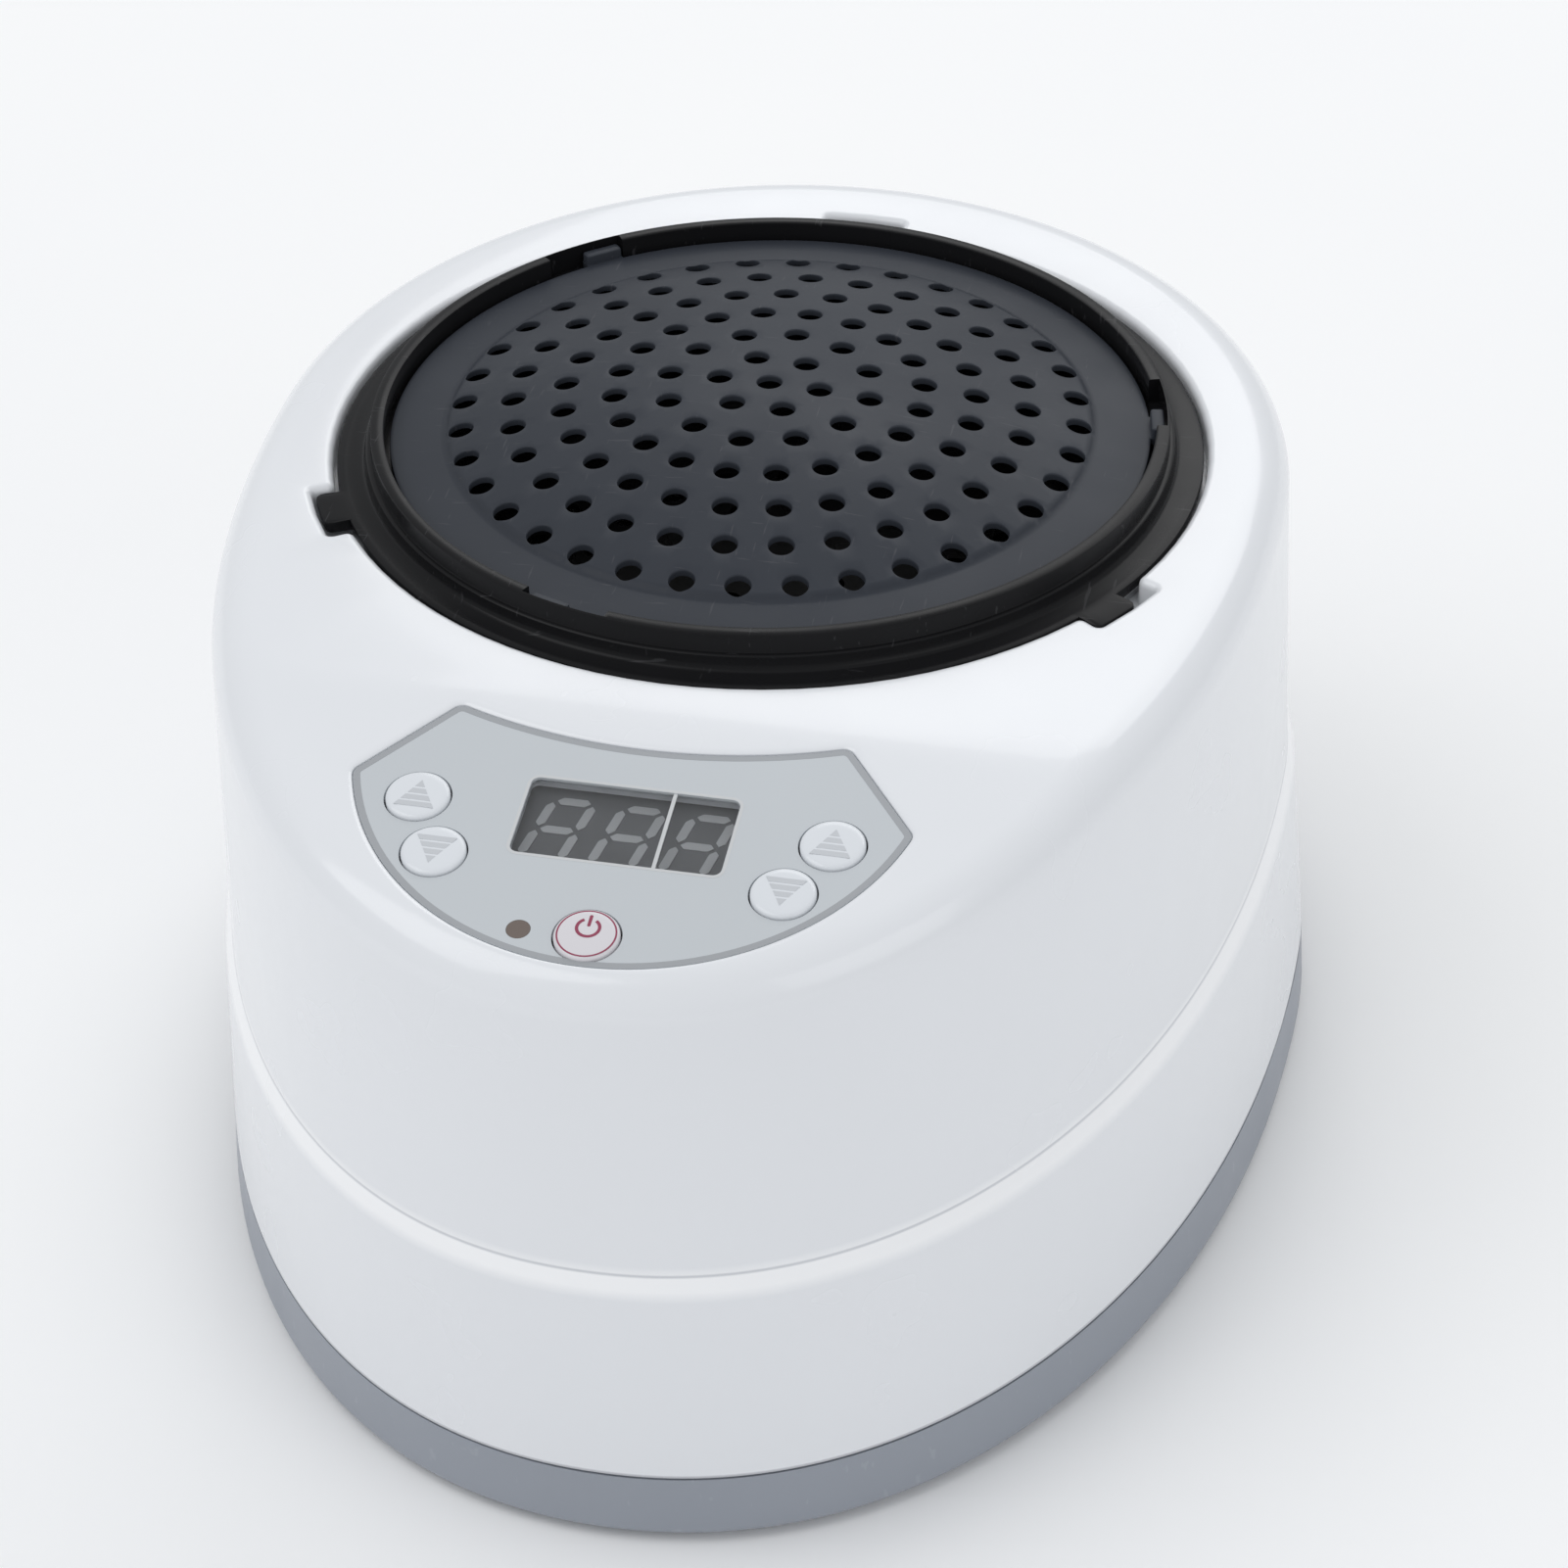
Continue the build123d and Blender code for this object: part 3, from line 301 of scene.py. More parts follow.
def arc_points(centre, radius, start, end, steps):
    """Points on an arc from one angle to another, both included."""
    out = []
    for i in range(steps + 1):
        turn = start + (end - start) * i / steps
        out.append(Vector((centre[0] + radius * math.cos(turn), centre[1] + radius * math.sin(turn))))
    return out


def circle(x, y, radius, count):
    """Closed ring of points about a centre."""
    turns = [2 * math.pi * i / count for i in range(count)]
    return [Vector((x + radius * math.cos(t), y + radius * math.sin(t))) for t in turns]


def rounded_box(x, y, width, height, radius):
    """Closed rounded rectangle."""
    w = width / 2
    h = height / 2
    corners = [(x - w, y - h), (x + w, y - h), (x + w, y + h), (x - w, y + h)]
    return round_corners([(cx, cy, radius) for cx, cy in corners])


def through(a, b, c):
    """Centre and radius of the circle through three plane points."""
    ax, ay, bx, by, cx, cy = *a, *b, *c
    d = 2 * (ax * (by - cy) + bx * (cy - ay) + cx * (ay - by))
    a2 = ax * ax + ay * ay
    b2 = bx * bx + by * by
    c2 = cx * cx + cy * cy
    ux = (a2 * (by - cy) + b2 * (cy - ay) + c2 * (ay - by)) / d
    uy = (a2 * (cx - bx) + b2 * (ax - cx) + c2 * (bx - ax)) / d
    return (ux, uy), math.hypot(ax - ux, ay - uy)


def panel_outline():
    """The panel's outline in (x, s): one large lower arc, two slants and a dipped top."""
    left = (-PANEL_SIDE_X, PANEL_SIDE_S)
    right = (PANEL_SIDE_X, PANEL_SIDE_S)
    centre, radius = through(left, (0, PANEL_BOTTOM_S), right)
    start = math.atan2(left[1] - centre[1], left[0] - centre[0])
    end = math.atan2(right[1] - centre[1], right[0] - centre[0])
    lower = arc_points(centre, radius, start % (2 * math.pi), end % (2 * math.pi), 60)
    top_l = (-PANEL_TOP_X, PANEL_TOP_S)
    top_r = (PANEL_TOP_X, PANEL_TOP_S)
    centre, radius = through(top_l, (0, PANEL_TOP_S - PANEL_DIP), top_r)
    start = math.atan2(top_r[1] - centre[1], top_r[0] - centre[0])
    end = math.atan2(top_l[1] - centre[1], top_l[0] - centre[0])
    upper = arc_points(centre, radius, start, end, 30)
    corners = [(p.x, p.y, 0) for p in lower[1:-1]]
    corners.append((*right, PANEL_CORNER_R))
    corners.append((*top_r, PANEL_CORNER_R))
    corners.extend((p.x, p.y, 0) for p in upper[2:-2])
    corners.append((*top_l, PANEL_CORNER_R))
    corners.append((*left, PANEL_CORNER_R))
    return round_corners(corners)


# ---- mesh building ----
class Sheet:
    """Collects patches in millimetres and welds them into one object."""

    def __init__(self):
        self.points = []
        self.faces = []

    def add(self, points):
        """Stores points and gives the number of the first."""
        start = len(self.points)
        self.points.extend(Vector(p) for p in points)
        return start

    def strip(self, a, b):
        """Quads between two closed rows with as many points."""
        i = self.add(a)
        j = self.add(b)
        count = len(a)
        for k in range(count):
            n = (k + 1) % count
            self.faces.append((i + k, i + n, j + n, j + k))

    def strips(self, rows):
        """Quads between each closed row and the next."""
        for a, b in zip(rows, rows[1:]):
            self.strip(a, b)

    def patch(self, outer, holes=(), inside=(), height=None):
        """Triangles between closed 3-D loops, as seen from above.

        A point that the triangulation adds takes its height from the function.
        """
        loops = [list(outer), *[list(h) for h in holes]]
        given = [Vector(p) for loop in loops for p in loop]
        given.extend(Vector(p) for p in inside)
        faces = []
        start = 0
        for loop in loops:
            faces.append(list(range(start, start + len(loop))))
            start += len(loop)
        flat = [p.to_2d() for p in given]
        made = delaunay_2d_cdt(flat, [], faces, 0, NEAR, True)
        points, _, triangles, from_points, _, from_faces = made
        placed = []
        for p, source in zip(points, from_points):
            if source:
                placed.append(given[source[0]])
            else:
                placed.append(Vector((p.x, p.y, height(p.x, p.y))))
        base = self.add(placed)
        for triangle, source in zip(triangles, from_faces):
            if source == [0]:
                self.faces.append(tuple(base + i for i in triangle))

    def build(self, name, sharp=SHARP, weld=2e-3):
        """The welded object, in scene units, smooth but for its sharp edges."""
        mesh = bpy.data.meshes.new(name)
        mesh.from_pydata([p * MM for p in self.points], [], self.faces)
        bm = bmesh.new()
        bm.from_mesh(mesh)
        bmesh.ops.remove_doubles(bm, verts=bm.verts, dist=weld * MM)
        bmesh.ops.dissolve_degenerate(bm, edges=bm.edges, dist=weld * MM / 4)
        bmesh.ops.delete(bm, geom=[v for v in bm.verts if not v.link_faces], context="VERTS")
        bmesh.ops.recalc_face_normals(bm, faces=bm.faces)
        bm.to_mesh(mesh)
        bm.free()
        mesh.shade_smooth()
        mesh.set_sharp_from_angle(angle=math.radians(sharp))
        thing = bpy.data.objects.new(name, mesh)
        bpy.context.scene.collection.objects.link(thing)
        return thing


def lifted(outline, z):
    """Plane points raised to a height, or to a height function."""
    if callable(z):
        return [Vector((p.x, p.y, z(p.x, p.y))) for p in outline]
    return [Vector((p.x, p.y, z)) for p in outline]


def ring_points(radius, z):
    """Closed ring about the collar's axis at a height."""
    return lifted(circle(RING_X, RING_Y, radius, RING_COUNT), z)


# ---- materials ----
class Finish:
    """A procedural material: named nodes joined by short calls."""

    def __init__(self, name, colour, rough, **sockets):
        self.material = bpy.data.materials.new(name)
        self.material.use_nodes = True
        self.nodes = self.material.node_tree.nodes
        self.links = self.material.node_tree.links
        self.shader = self.nodes["Principled BSDF"]
        self.shader.inputs["Base Color"].default_value = (*colour, 1)
        self.shader.inputs["Roughness"].default_value = rough
        for socket, value in sockets.items():
            self.shader.inputs[socket.replace("_", " ")].default_value = value
        self.place = self.nodes.new("ShaderNodeTexCoord").outputs["Object"]

    def noise(self, scale, detail, stretch=None):
        """Noise with features about 1/scale metres across, in object space."""
        texture = self.nodes.new("ShaderNodeTexNoise")
        texture.inputs["Scale"].default_value = scale
        texture.inputs["Detail"].default_value = detail
        place = self.place
        if stretch:
            mapping = self.nodes.new("ShaderNodeMapping")
            mapping.inputs["Scale"].default_value = stretch
            self.links.new(place, mapping.inputs["Vector"])
            place = mapping.outputs["Vector"]
        self.links.new(place, texture.inputs["Vector"])
        return texture.outputs[0]

    def ramp(self, source, low, high, to_low=0.0, to_high=1.0):
        """Maps a range of a value to another range, held at its ends."""
        node = self.nodes.new("ShaderNodeMapRange")
        self.links.new(source, node.inputs["Value"])
        limits = {"From Min": low, "From Max": high, "To Min": to_low, "To Max": to_high}
        for socket, value in limits.items():
            node.inputs[socket].default_value = value
        return node.outputs["Result"]

    def product(self, a, b):
        """One value times another."""
        node = self.nodes.new("ShaderNodeMath")
        node.operation = "MULTIPLY"
        self.links.new(a, node.inputs[0])
        self.links.new(b, node.inputs[1])
        return node.outputs[0]

    def tint(self, factor, colour):
        """Mixes another colour in where the factor is high."""
        node = self.nodes.new("ShaderNodeMix")
        node.data_type = "RGBA"
        self.links.new(factor, node.inputs["Factor"])
        base = self.shader.inputs["Base Color"]
        if base.is_linked:
            self.links.new(base.links[0].from_socket, node.inputs["A"])
        else:
            node.inputs["A"].default_value = base.default_value
        node.inputs["B"].default_value = (*colour, 1)
        self.links.new(node.outputs["Result"], base)
        return self

    def roughen(self, factor, low, high):
        """Roughness that runs from low to high with the factor."""
        self.links.new(self.ramp(factor, 0.3, 0.7, low, high), self.shader.inputs["Roughness"])
        return self

    def bump(self, factor, depth, strength):
        """Adds relief of a depth in metres."""
        node = self.nodes.new("ShaderNodeBump")
        node.inputs["Distance"].default_value = depth
        node.inputs["Strength"].default_value = strength
        self.links.new(factor, node.inputs["Height"])
        normal = self.shader.inputs["Normal"]
        if normal.is_linked:
            self.links.new(normal.links[0].from_socket, node.inputs["Normal"])
        self.links.new(node.outputs["Normal"], normal)
        return self

    def height_mask(self, low_z, high_z, fade):
        """1 between two heights in millimetres, fading out over a distance."""
        split = self.nodes.new("ShaderNodeSeparateXYZ")
        self.links.new(self.place, split.inputs[0])
        z = split.outputs["Z"]
        rise = self.ramp(z, (low_z - fade) * MM, low_z * MM)
        fall = self.ramp(z, high_z * MM, (high_z + fade) * MM, 1.0, 0.0)
        return self.product(rise, fall)


def moulded(name, colour, rough, spread=0.06, grain=0.0, mottle=0.03, **sockets):
    """Moulded plastic: cloudy gloss, a faint flow pattern and, if asked, a fine grain."""
    finish = Finish(name, colour, rough, **sockets)
    cloud = finish.noise(35.0, 3.0)
    finish.roughen(cloud, max(rough - spread, 0.02), rough + spread)
    darker = tuple(c * (1 - mottle) for c in colour)
    finish.tint(finish.ramp(finish.noise(14.0, 5.0), 0.35, 0.75), darker)
    finish.bump(finish.noise(220.0, 2.0), 0.00002, 0.5)
    if grain:
        finish.bump(finish.noise(2600.0, 2.0), grain, 0.6)
    return finish


def scratches(finish, colour, amount, scale):
    """Sparse hairline marks in two directions."""
    for stretch in ((1, 14, 3), (12, 1, 3)):
        lines = finish.noise(scale, 2.0, stretch)
        mask = finish.ramp(lines, 0.70, 0.74, 0.0, amount)
        finish.tint(mask, colour)
    return finish


def brushed(name, colour, rough, direction):
    """Metal with fine parallel lines, slightly uneven in gloss and tone."""
    finish = Finish(name, colour, rough, Metallic=1.0)
    lines = finish.noise(180.0, 3.0, direction)
    finish.roughen(lines, rough * 0.7, rough * 1.4)
    finish.tint(finish.ramp(finish.noise(30.0, 4.0), 0.4, 0.8), tuple(c * 0.82 for c in colour))
    finish.bump(lines, 0.00002, 0.4)
    return finish


# Plain moulded pieces and prints: colour, roughness, mottle.
PLASTICS = {
    "silicone": ((0.42, 0.43, 0.44), 0.55, 0.12),
    "button_cap": ((0.74, 0.765, 0.80), 0.22, 0.02),
    "power_cap": ((0.70, 0.68, 0.71), 0.26, 0.02),
    "component_black": ((0.02, 0.02, 0.02), 0.5, 0.3),
    "circuit_board": ((0.03, 0.16, 0.07), 0.4, 0.3),
    "smoked_window": ((0.175, 0.138, 0.12), 0.25, 0.2),
    "relay_case": ((0.05, 0.12, 0.35), 0.35, 0.1),
    "terminal_green": ((0.06, 0.28, 0.12), 0.4, 0.1),
    "display_face": ((0.125, 0.128, 0.136), 0.45, 0.12),
    "segment": ((0.50, 0.51, 0.52), 0.45, 0.08),
    "border_ink": ((0.365, 0.38, 0.40), 0.4, 0.06),
    "window_ink": ((0.60, 0.61, 0.62), 0.35, 0.04),
    "key_ink": ((0.575, 0.595, 0.625), 0.4, 0.06),
    "power_ink": ((0.30, 0.045, 0.095), 0.35, 0.1),
}

# Metals: colour, roughness, and how far the grain is drawn out along each axis.
METALS = {
    "screw_steel": ((0.50, 0.50, 0.51), 0.35, (1, 1, 40)),
    "pot_steel": ((0.63, 0.63, 0.64), 0.26, (1, 1, 40)),
    "cast_aluminium": ((0.60, 0.61, 0.62), 0.5, (1, 1, 1)),
    "element_steel": ((0.32, 0.30, 0.28), 0.4, (1, 1, 40)),
    "zinc_steel": ((0.56, 0.57, 0.58), 0.42, (1, 1, 40)),
    "pin_brass": ((0.70, 0.55, 0.28), 0.3, (1, 1, 40)),
}


def shell_finish():
    """Glossy white, with a painted highlight on the shoulder and painted shade in the crease and at the
    parting line.
    """
    shell = moulded("white_shell", (0.80, 0.815, 0.845), 0.24, spread=0.05, mottle=0.02)
    shell.shader.inputs["Coat Weight"].default_value = 0.35
    shell.shader.inputs["Coat Roughness"].default_value = 0.08
    # Painted highlight: a pale band along the shoulder, where the surface faces up into the light.
    shell.tint(shell.height_mask(SHOULDER_Z + 0.9, CREASE_Z - 0.35, 2.2), (0.93, 0.935, 0.95))
    # Painted shade: a thin dark line along the crease, over the crease that the geometry already has.
    shell.tint(shell.height_mask(CREASE_Z - 0.05, CREASE_Z + 0.15, 0.3), (0.62, 0.635, 0.67))
    # Painted shade: a darker band along the shell's bottom edge at the parting line.
    shell.tint(shell.height_mask(PARTING_Z - 1, PARTING_Z + 0.2, 0.5), (0.45, 0.46, 0.49))
    return shell


def lens_finish():
    """Clear plastic with a faint smear."""
    lens = Finish("clear_lens", (0.93, 0.94, 0.95), 0.04)
    lens.shader.inputs["Transmission Weight"].default_value = 1.0
    lens.shader.inputs["IOR"].default_value = 1.45
    return lens.roughen(lens.noise(120.0, 3.0), 0.02, 0.08)


def make_finishes():
    """All materials by the record's slot names, and a few for prints."""
    made = {"white_shell": shell_finish(), "clear_lens": lens_finish()}
    for name, (colour, rough, mottle) in PLASTICS.items():
        made[name] = moulded(name, colour, rough, mottle=mottle)
    for name, (colour, rough, direction) in METALS.items():
        made[name] = brushed(name, colour, rough, direction)

    tray = moulded("grey_tray", (0.295, 0.318, 0.362), 0.36, mottle=0.05, grain=0.000006)
    made["grey_tray"] = scratches(tray, (0.42, 0.44, 0.48), 0.25, 60.0)
    made["foot_rubber"] = moulded("foot_rubber", (0.035, 0.035, 0.037), 0.75, grain=0.00003, mottle=0.3)
    made["inlet_black"] = moulded("inlet_black", (0.018, 0.018, 0.019), 0.38, mottle=0.3, grain=0.00002)
    made["overlay_film"] = moulded("overlay_film", (0.555, 0.585, 0.612), 0.33, spread=0.03, grain=0.00001)

    collar_black = (0.010, 0.010, 0.011)
    ring = moulded("black_collar", collar_black, 0.27, spread=0.07, mottle=0.35, Specular_IOR_Level=0.12)
    made["black_collar"] = scratches(ring, (0.07, 0.07, 0.075), 0.35, 90.0)
    lid_black = (0.038, 0.043, 0.054)
    cover = moulded("black_lid", lid_black, 0.42, grain=0.000008, mottle=0.2, Specular_IOR_Level=0.14)
    made["black_lid"] = scratches(cover, (0.10, 0.10, 0.11), 0.3, 110.0)
    return made


FINISHES = make_finishes()


def dress(thing, slot, finish=None):
    """Gives a new piece the material of a record's slot, or of another finish if one is named."""
    thing.data.materials.clear()
    thing.data.materials.append(FINISHES[finish or slot].material)
    return thing


def dress_cad():
    """Every CAD node keeps its mesh and gets the finish of its slot."""
    slots = {}
    for entry in frame["record"].get("materials", []):
        slots[entry["slot"]] = FINISHES[entry["slot"]].material
    for node in frame["nodes"].values():
        for i, old in enumerate(node.data.materials):
            name = old.name.split(".")[0] if old else ""
            if name in slots:
                node.data.materials[i] = slots[name]


# ---- housing shell ----
def outline_point(level, turn, inset=0.0):
    """Point of the egg-shaped outline (half width, front, back, widest y) at a turn."""
    half, front, back, widest = level
    c = math.cos(turn)
    s = math.sin(turn)
    power = 2 / FRONT_POWER if s < 0 else 1.0
    reach = (widest - front if s < 0 else back - widest) - inset
    x = (half - inset) * math.copysign(abs(c) ** power, c)
    return Vector((x, widest + reach * math.copysign(abs(s) ** power, s)))


# Half width, front, back and widest y of the outline at each height.
LEVELS = {
    PARTING_Z: (HALF_W - 1.0, FRONT_Y + 0.8, BACK_Y, 30.0),
    SHOULDER_Z: (HALF_W - 4.6, FRONT_Y, BACK_Y - 5.0, 26.0),
    CREASE_Z: (HALF_W - 6.2, FRONT_Y + 0.9, BACK_Y - 6.5, 26.0),
    TOP_Z + 5: (HALF_W - 9.9, FRONT_Y + 3.2, BACK_Y - 11.0, 21.0),
}
HEIGHTS = sorted(LEVELS)


def level_point(index, turn, inset=0.0):
    """Point in space of the outline at one of the levels, counted from the lowest."""
    z = HEIGHTS[index]
    point = outline_point(LEVELS[z], turn, inset).to_3d()
    point.z = z
    return point


def top_height(x, y, drop=0.0):
    """Height of the housing's top: level, then a large-radius bend into the slope."""
    half_bend = SLOPE_BLEND_R * math.tan(SLOPE / 2)
    start = SLOPE_START_Y + half_bend
    if y >= start:
        return TOP_Z - drop
    end = SLOPE_START_Y - half_bend * math.cos(SLOPE)
    if y <= end:
        return TOP_Z - drop - (SLOPE_START_Y - y) * math.tan(SLOPE)
    fall = SLOPE_BLEND_R - math.sqrt(SLOPE_BLEND_R**2 - (start - y) ** 2)
    return TOP_Z - drop - fall


def under_height(x, y):
    """Height of the top plate's underside."""
    return top_height(x, y, TOP_PLATE)


def wall_meets_top(turn, inset, drop):
    """Where the leaning wall meets the top, and the level way inward from there."""
    low = level_point(2, turn, inset)
    high = level_point(3, turn, inset)
    share = 1.0
    for _ in range(8):
        point = low.lerp(high, share)
        share = (top_height(point.x, point.y, drop) - low.z) / (high.z - low.z)
    point = low.lerp(high, share)
    step = 1e-3
    ahead = level_point(3, turn + step, inset)
    behind = level_point(3, turn - step, inset)
    along = (ahead - behind).to_2d().normalized()
    return low, point, Vector((-along.y, along.x, 0))


def wall_section(turn):
    """Outer profile at one turn, from the parting line up to the start of the top."""
    foot = level_point(0, turn)
    shoulder = level_point(1, turn)
    crease, corner, inward = wall_meets_top(turn, 0, 0)
    landing = corner + inward * (TOP_EDGE_R * 1.05)
    landing.z = top_height(landing.x, landing.y)
    lean = (crease - shoulder).normalized()
    down = (crease - corner).normalized()
    over = (landing - corner).normalized()
    row = [foot.lerp(shoulder, share) for share in LOWER_ROWS]
    row += corner_arc(shoulder, (foot - shoulder).normalized(), lean, SHOULDER_R, 6)
    row += corner_arc(crease, -lean, -down, CREASE_R, 4)
    row += [crease.lerp(corner, share) for share in UPPER_ROWS]
    row += corner_arc(corner, down, over, TOP_EDGE_R, EDGE_STEPS)
    end = row[-1]
    end.z = top_height(end.x, end.y)
    return row


def skin_height(x, y, sections):
    """Height of the top with its rounded edge, read from the nearest wall section."""
    if y > FRONT_Y + TOP_EDGE_R * 2:
        return top_height(x, y)
    place = Vector((x, y))
    best = None
    for section in sections:
        start = section[-1].to_2d()
        out = section[-EDGE_STEPS - 1].to_2d() - start
        side = abs(out.normalized().cross(place - start))
        if (place - start).length < 2 * TOP_EDGE_R and (best is None or side < best[0]):
            best = (side, section, start, out.normalized())
    if best is None:
        return top_height(x, y)
    _, section, start, out = best
    along = out.dot(place - start)
    if along <= 0:
        return top_height(x, y)
    arc = section[-EDGE_STEPS - 1:]
    for high, low in zip(arc[::-1], arc[-2::-1]):
        near = out.dot(high.to_2d() - start)
        far = out.dot(low.to_2d() - start)
        if along <= far:
            return high.z + (low.z - high.z) * (along - near) / (far - near)
    return arc[0].z


def recess_outline(grow):
    """The collar's recess with room for three tabs, moved outward by a distance."""
    corners = []
    for i in range(3):
        middle = TAB_ANGLE + 120 * i + TAB_PLAY / 2
        half = TAB_HALF + TAB_PLAY / 2 + TAB_GAP
        for k in range(27):
            turn = math.radians(middle - 120 + half + 2.0 + (120 - 2 * half - 4.0) * k / 26)
            corners.append((math.cos(turn) * RECESS_R, math.sin(turn) * RECESS_R, 0))
        for turn, radius, fillet in (
            (middle - half, RECESS_R, 1.6),
            (middle - half, TAB_ROOM_R, 0.9),
            (middle, TAB_ROOM_R, 0),
            (middle + half, TAB_ROOM_R, 0.9),
            (middle + half, RECESS_R, 1.6),
        ):
            turn = math.radians(turn)
            corners.append((math.cos(turn) * radius, math.sin(turn) * radius, fillet))
    outline = grown(round_corners(corners, 5), grow)
    return [Vector((p.x + RING_X, p.y + RING_Y)) for p in outline]


def plane_grid(x_range, y_range, step):
    """Evenly spaced plane points over a rectangle."""
    points = []
    y = y_range[0]
    while y <= y_range[1]:
        x = x_range[0]
        while x <= x_range[1]:
            points.append(Vector((x, y)))
            x += step
        y += step
    return points


def panel_loop(outline, h):
    """A panel outline placed in space at one height over the overlay."""
    return [on_panel(p.x, p.y, h) for p in outline]


def panel_lip(outline, grow, share, sections):
    """A panel outline moved outward, some share of the way down from the skin."""
    loop = []
    for p in grown(outline, grow):
        flat = on_panel(p.x, p.y)
        rise = (skin_height(flat.x, flat.y, sections) - flat.z) * math.cos(SLOPE)
        loop.append(on_panel(p.x, p.y, rise * (1 - share) if rise > 0 else rise))
    return loop


def housing_shell():
    """White housing with soft shoulder, rounded rim, collar recess and panel seat."""
    sheet = Sheet()
    turns = [2 * math.pi * (i + 0.5) / TURN_COUNT for i in range(TURN_COUNT)]
    sections = [wall_section(t) for t in turns]
    rows = [list(row) for row in zip(*sections)]
    upper = rows[EDGE_SPLIT - EDGE_STEPS:]
    rows = rows[:EDGE_SPLIT - EDGE_STEPS]
    sheet.strips(rows)

    recess_rows = []
    for a in LIP_TURNS:
        loop = recess_outline(RECESS_LIP * (1 - math.sin(a)))
        recess_rows.append(lifted(loop, TOP_Z - RECESS_LIP * (1 - math.cos(a))))
    recess_rows.append(lifted(recess_outline(0), LEDGE_Z))
    sheet.strips(recess_rows)

    panel = panel_outline()
    seat_h = -OVERLAY_T
    lip_rows = []
    for a in LIP_TURNS:
        lip_rows.append(panel_lip(panel, PANEL_GAP + PANEL_LIP * (1 - math.sin(a)), 1 - math.cos(a), sections))
    lip_rows.append(panel_loop(grown(panel, PANEL_GAP), seat_h))
    sheet.strips(lip_rows)

    bend = lifted(plane_grid((-84, 84), BEND_BAND, 2.0), top_height)
    bend = clear_of(bend, [(p.x, p.y) for row in upper for p in row], 2.0)
    borders = [(p.x, p.y) for p in (*recess_rows[0], *lip_rows[0])]
    edge = clear_of([p for row in upper for p in row], borders, 0.5)
    sheet.patch(rows[-1], [recess_rows[0], lip_rows[0]], edge + clear_of(bend, borders, 1.0), top_height)

    sheet.patch(recess_rows[-1], [ring_points(LEDGE_R, LEDGE_Z)])
    low_z = LEDGE_Z - LEDGE_T
    tube_top = TOP_Z - TOP_PLATE
    sheet.strips([ring_points(r, z) for r, z in (
        (LEDGE_R, LEDGE_Z), (LEDGE_R, low_z), (CUP_R, low_z), (CUP_R, tube_top))])

    inner_rows = inner_wall(turns)
    sheet.strips([rows[0], *inner_rows])
    wells = [seat_hole(circle(x, s, BUTTON_R + BUTTON_GAP, 48)) for x, s, _ in BUTTONS.values()]
    wells.append(seat_hole(circle(*IR_PLACE, IR_R + IR_GAP, 32)))
    for top, low in wells:
        sheet.strip(top, low)
    room = panel_loop(rounded_box(*LENS_ROOM), seat_h)
    room_low = panel_loop(rounded_box(*LENS_ROOM), seat_h - LENS_ROOM_T)
    well = panel_loop(rounded_box(*WELL), seat_h - LENS_ROOM_T)
    well_low = seat_hole(rounded_box(*WELL))[1]
    sheet.strip(room, room_low)
    sheet.patch(room_low, [well])
    sheet.strip(well, well_low)
    sheet.patch(lip_rows[-1], [room, *[top for top, _ in wells]])
    bend = lifted(plane_grid((-80, 80), BEND_BAND, 4.0), under_height)
    holes = [ring_points(CUP_R, tube_top), well_low, *[low for _, low in wells]]
    sheet.patch(inner_rows[-1], holes, bend)

    shell = sheet.build("shell")
    open_inlet(shell)
    dress(shell, "white_shell")
    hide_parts("upper_shell")
    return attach(shell, "housing")


def prism(name, half, profile):
    """Block with a (y, z) profile, centred across the housing."""
    sheet = Sheet()
    sides = [[Vector((x, y, z)) for y, z in profile] for x in (-half, half)]
    sheet.strip(*sides)
    for side in sides:
        start = sheet.add(side)
        sheet.faces.append(tuple(range(start, start + len(side))))
    return sheet.build(name)


def combine(thing, tool, operation):
    """Joins or cuts with a tool that is then dropped."""
    step = thing.modifiers.new("step", "BOOLEAN")
    step.operation = operation
    step.solver = "EXACT"
    step.object = tool
    shape = bpy.data.meshes.new_from_object(thing.evaluated_get(bpy.context.evaluated_depsgraph_get()))
    thing.modifiers.clear()
    thing.data = shape
    bpy.data.objects.remove(tool)
    shape.shade_smooth()
    shape.set_sharp_from_angle(angle=math.radians(SHARP))


def open_inlet(shell):
    """Pad inside the back wall, with a flat seat and a hole for the power inlet."""
    seat_y = INLET_HIGH.y - INLET_FLANGE_T
    half = INLET_HIGH.x + INLET_FLANGE
    low = INLET_LOW.z - INLET_FLANGE
    high = INLET_HIGH.z + INLET_FLANGE
    back = seat_y - INLET_PAD_T
    profile = [(back, low), (seat_y + PAD_FOOT, low), (seat_y + PAD_HEAD, high), (back, high)]
    combine(shell, prism("pad", half, profile), "UNION")
    gap = INLET_GAP
    low, high = INLET_LOW.z - gap, INLET_HIGH.z + gap
    out = seat_y + CUT_OUT
    seat = [(seat_y, low), (out, low), (out, high), (seat_y, high)]
    combine(shell, prism("seat", INLET_HIGH.x + gap, seat), "DIFFERENCE")
    low, high = low + INLET_FLANGE, high - INLET_FLANGE
    near, far = back - CUT_PAST, seat_y + CUT_PAST
    hole = [(near, low), (far, low), (far, high), (near, high)]
    combine(shell, prism("hole", INLET_HIGH.x - INLET_FLANGE + gap, hole), "DIFFERENCE")


def inner_wall(turns):
    """Rows of the wall's inner face, from the parting line up to the plate's underside."""
    rows = []
    for z in HEIGHTS[:3]:
        outline = [outline_point(LEVELS[z], t, WALL) for t in turns]
        rows.append(lifted(outline, z))
    rows.append([wall_meets_top(t, WALL, TOP_PLATE)[1] for t in turns])
    for p in rows[-1]:
        p.z = under_height(p.x, p.y)
    return rows


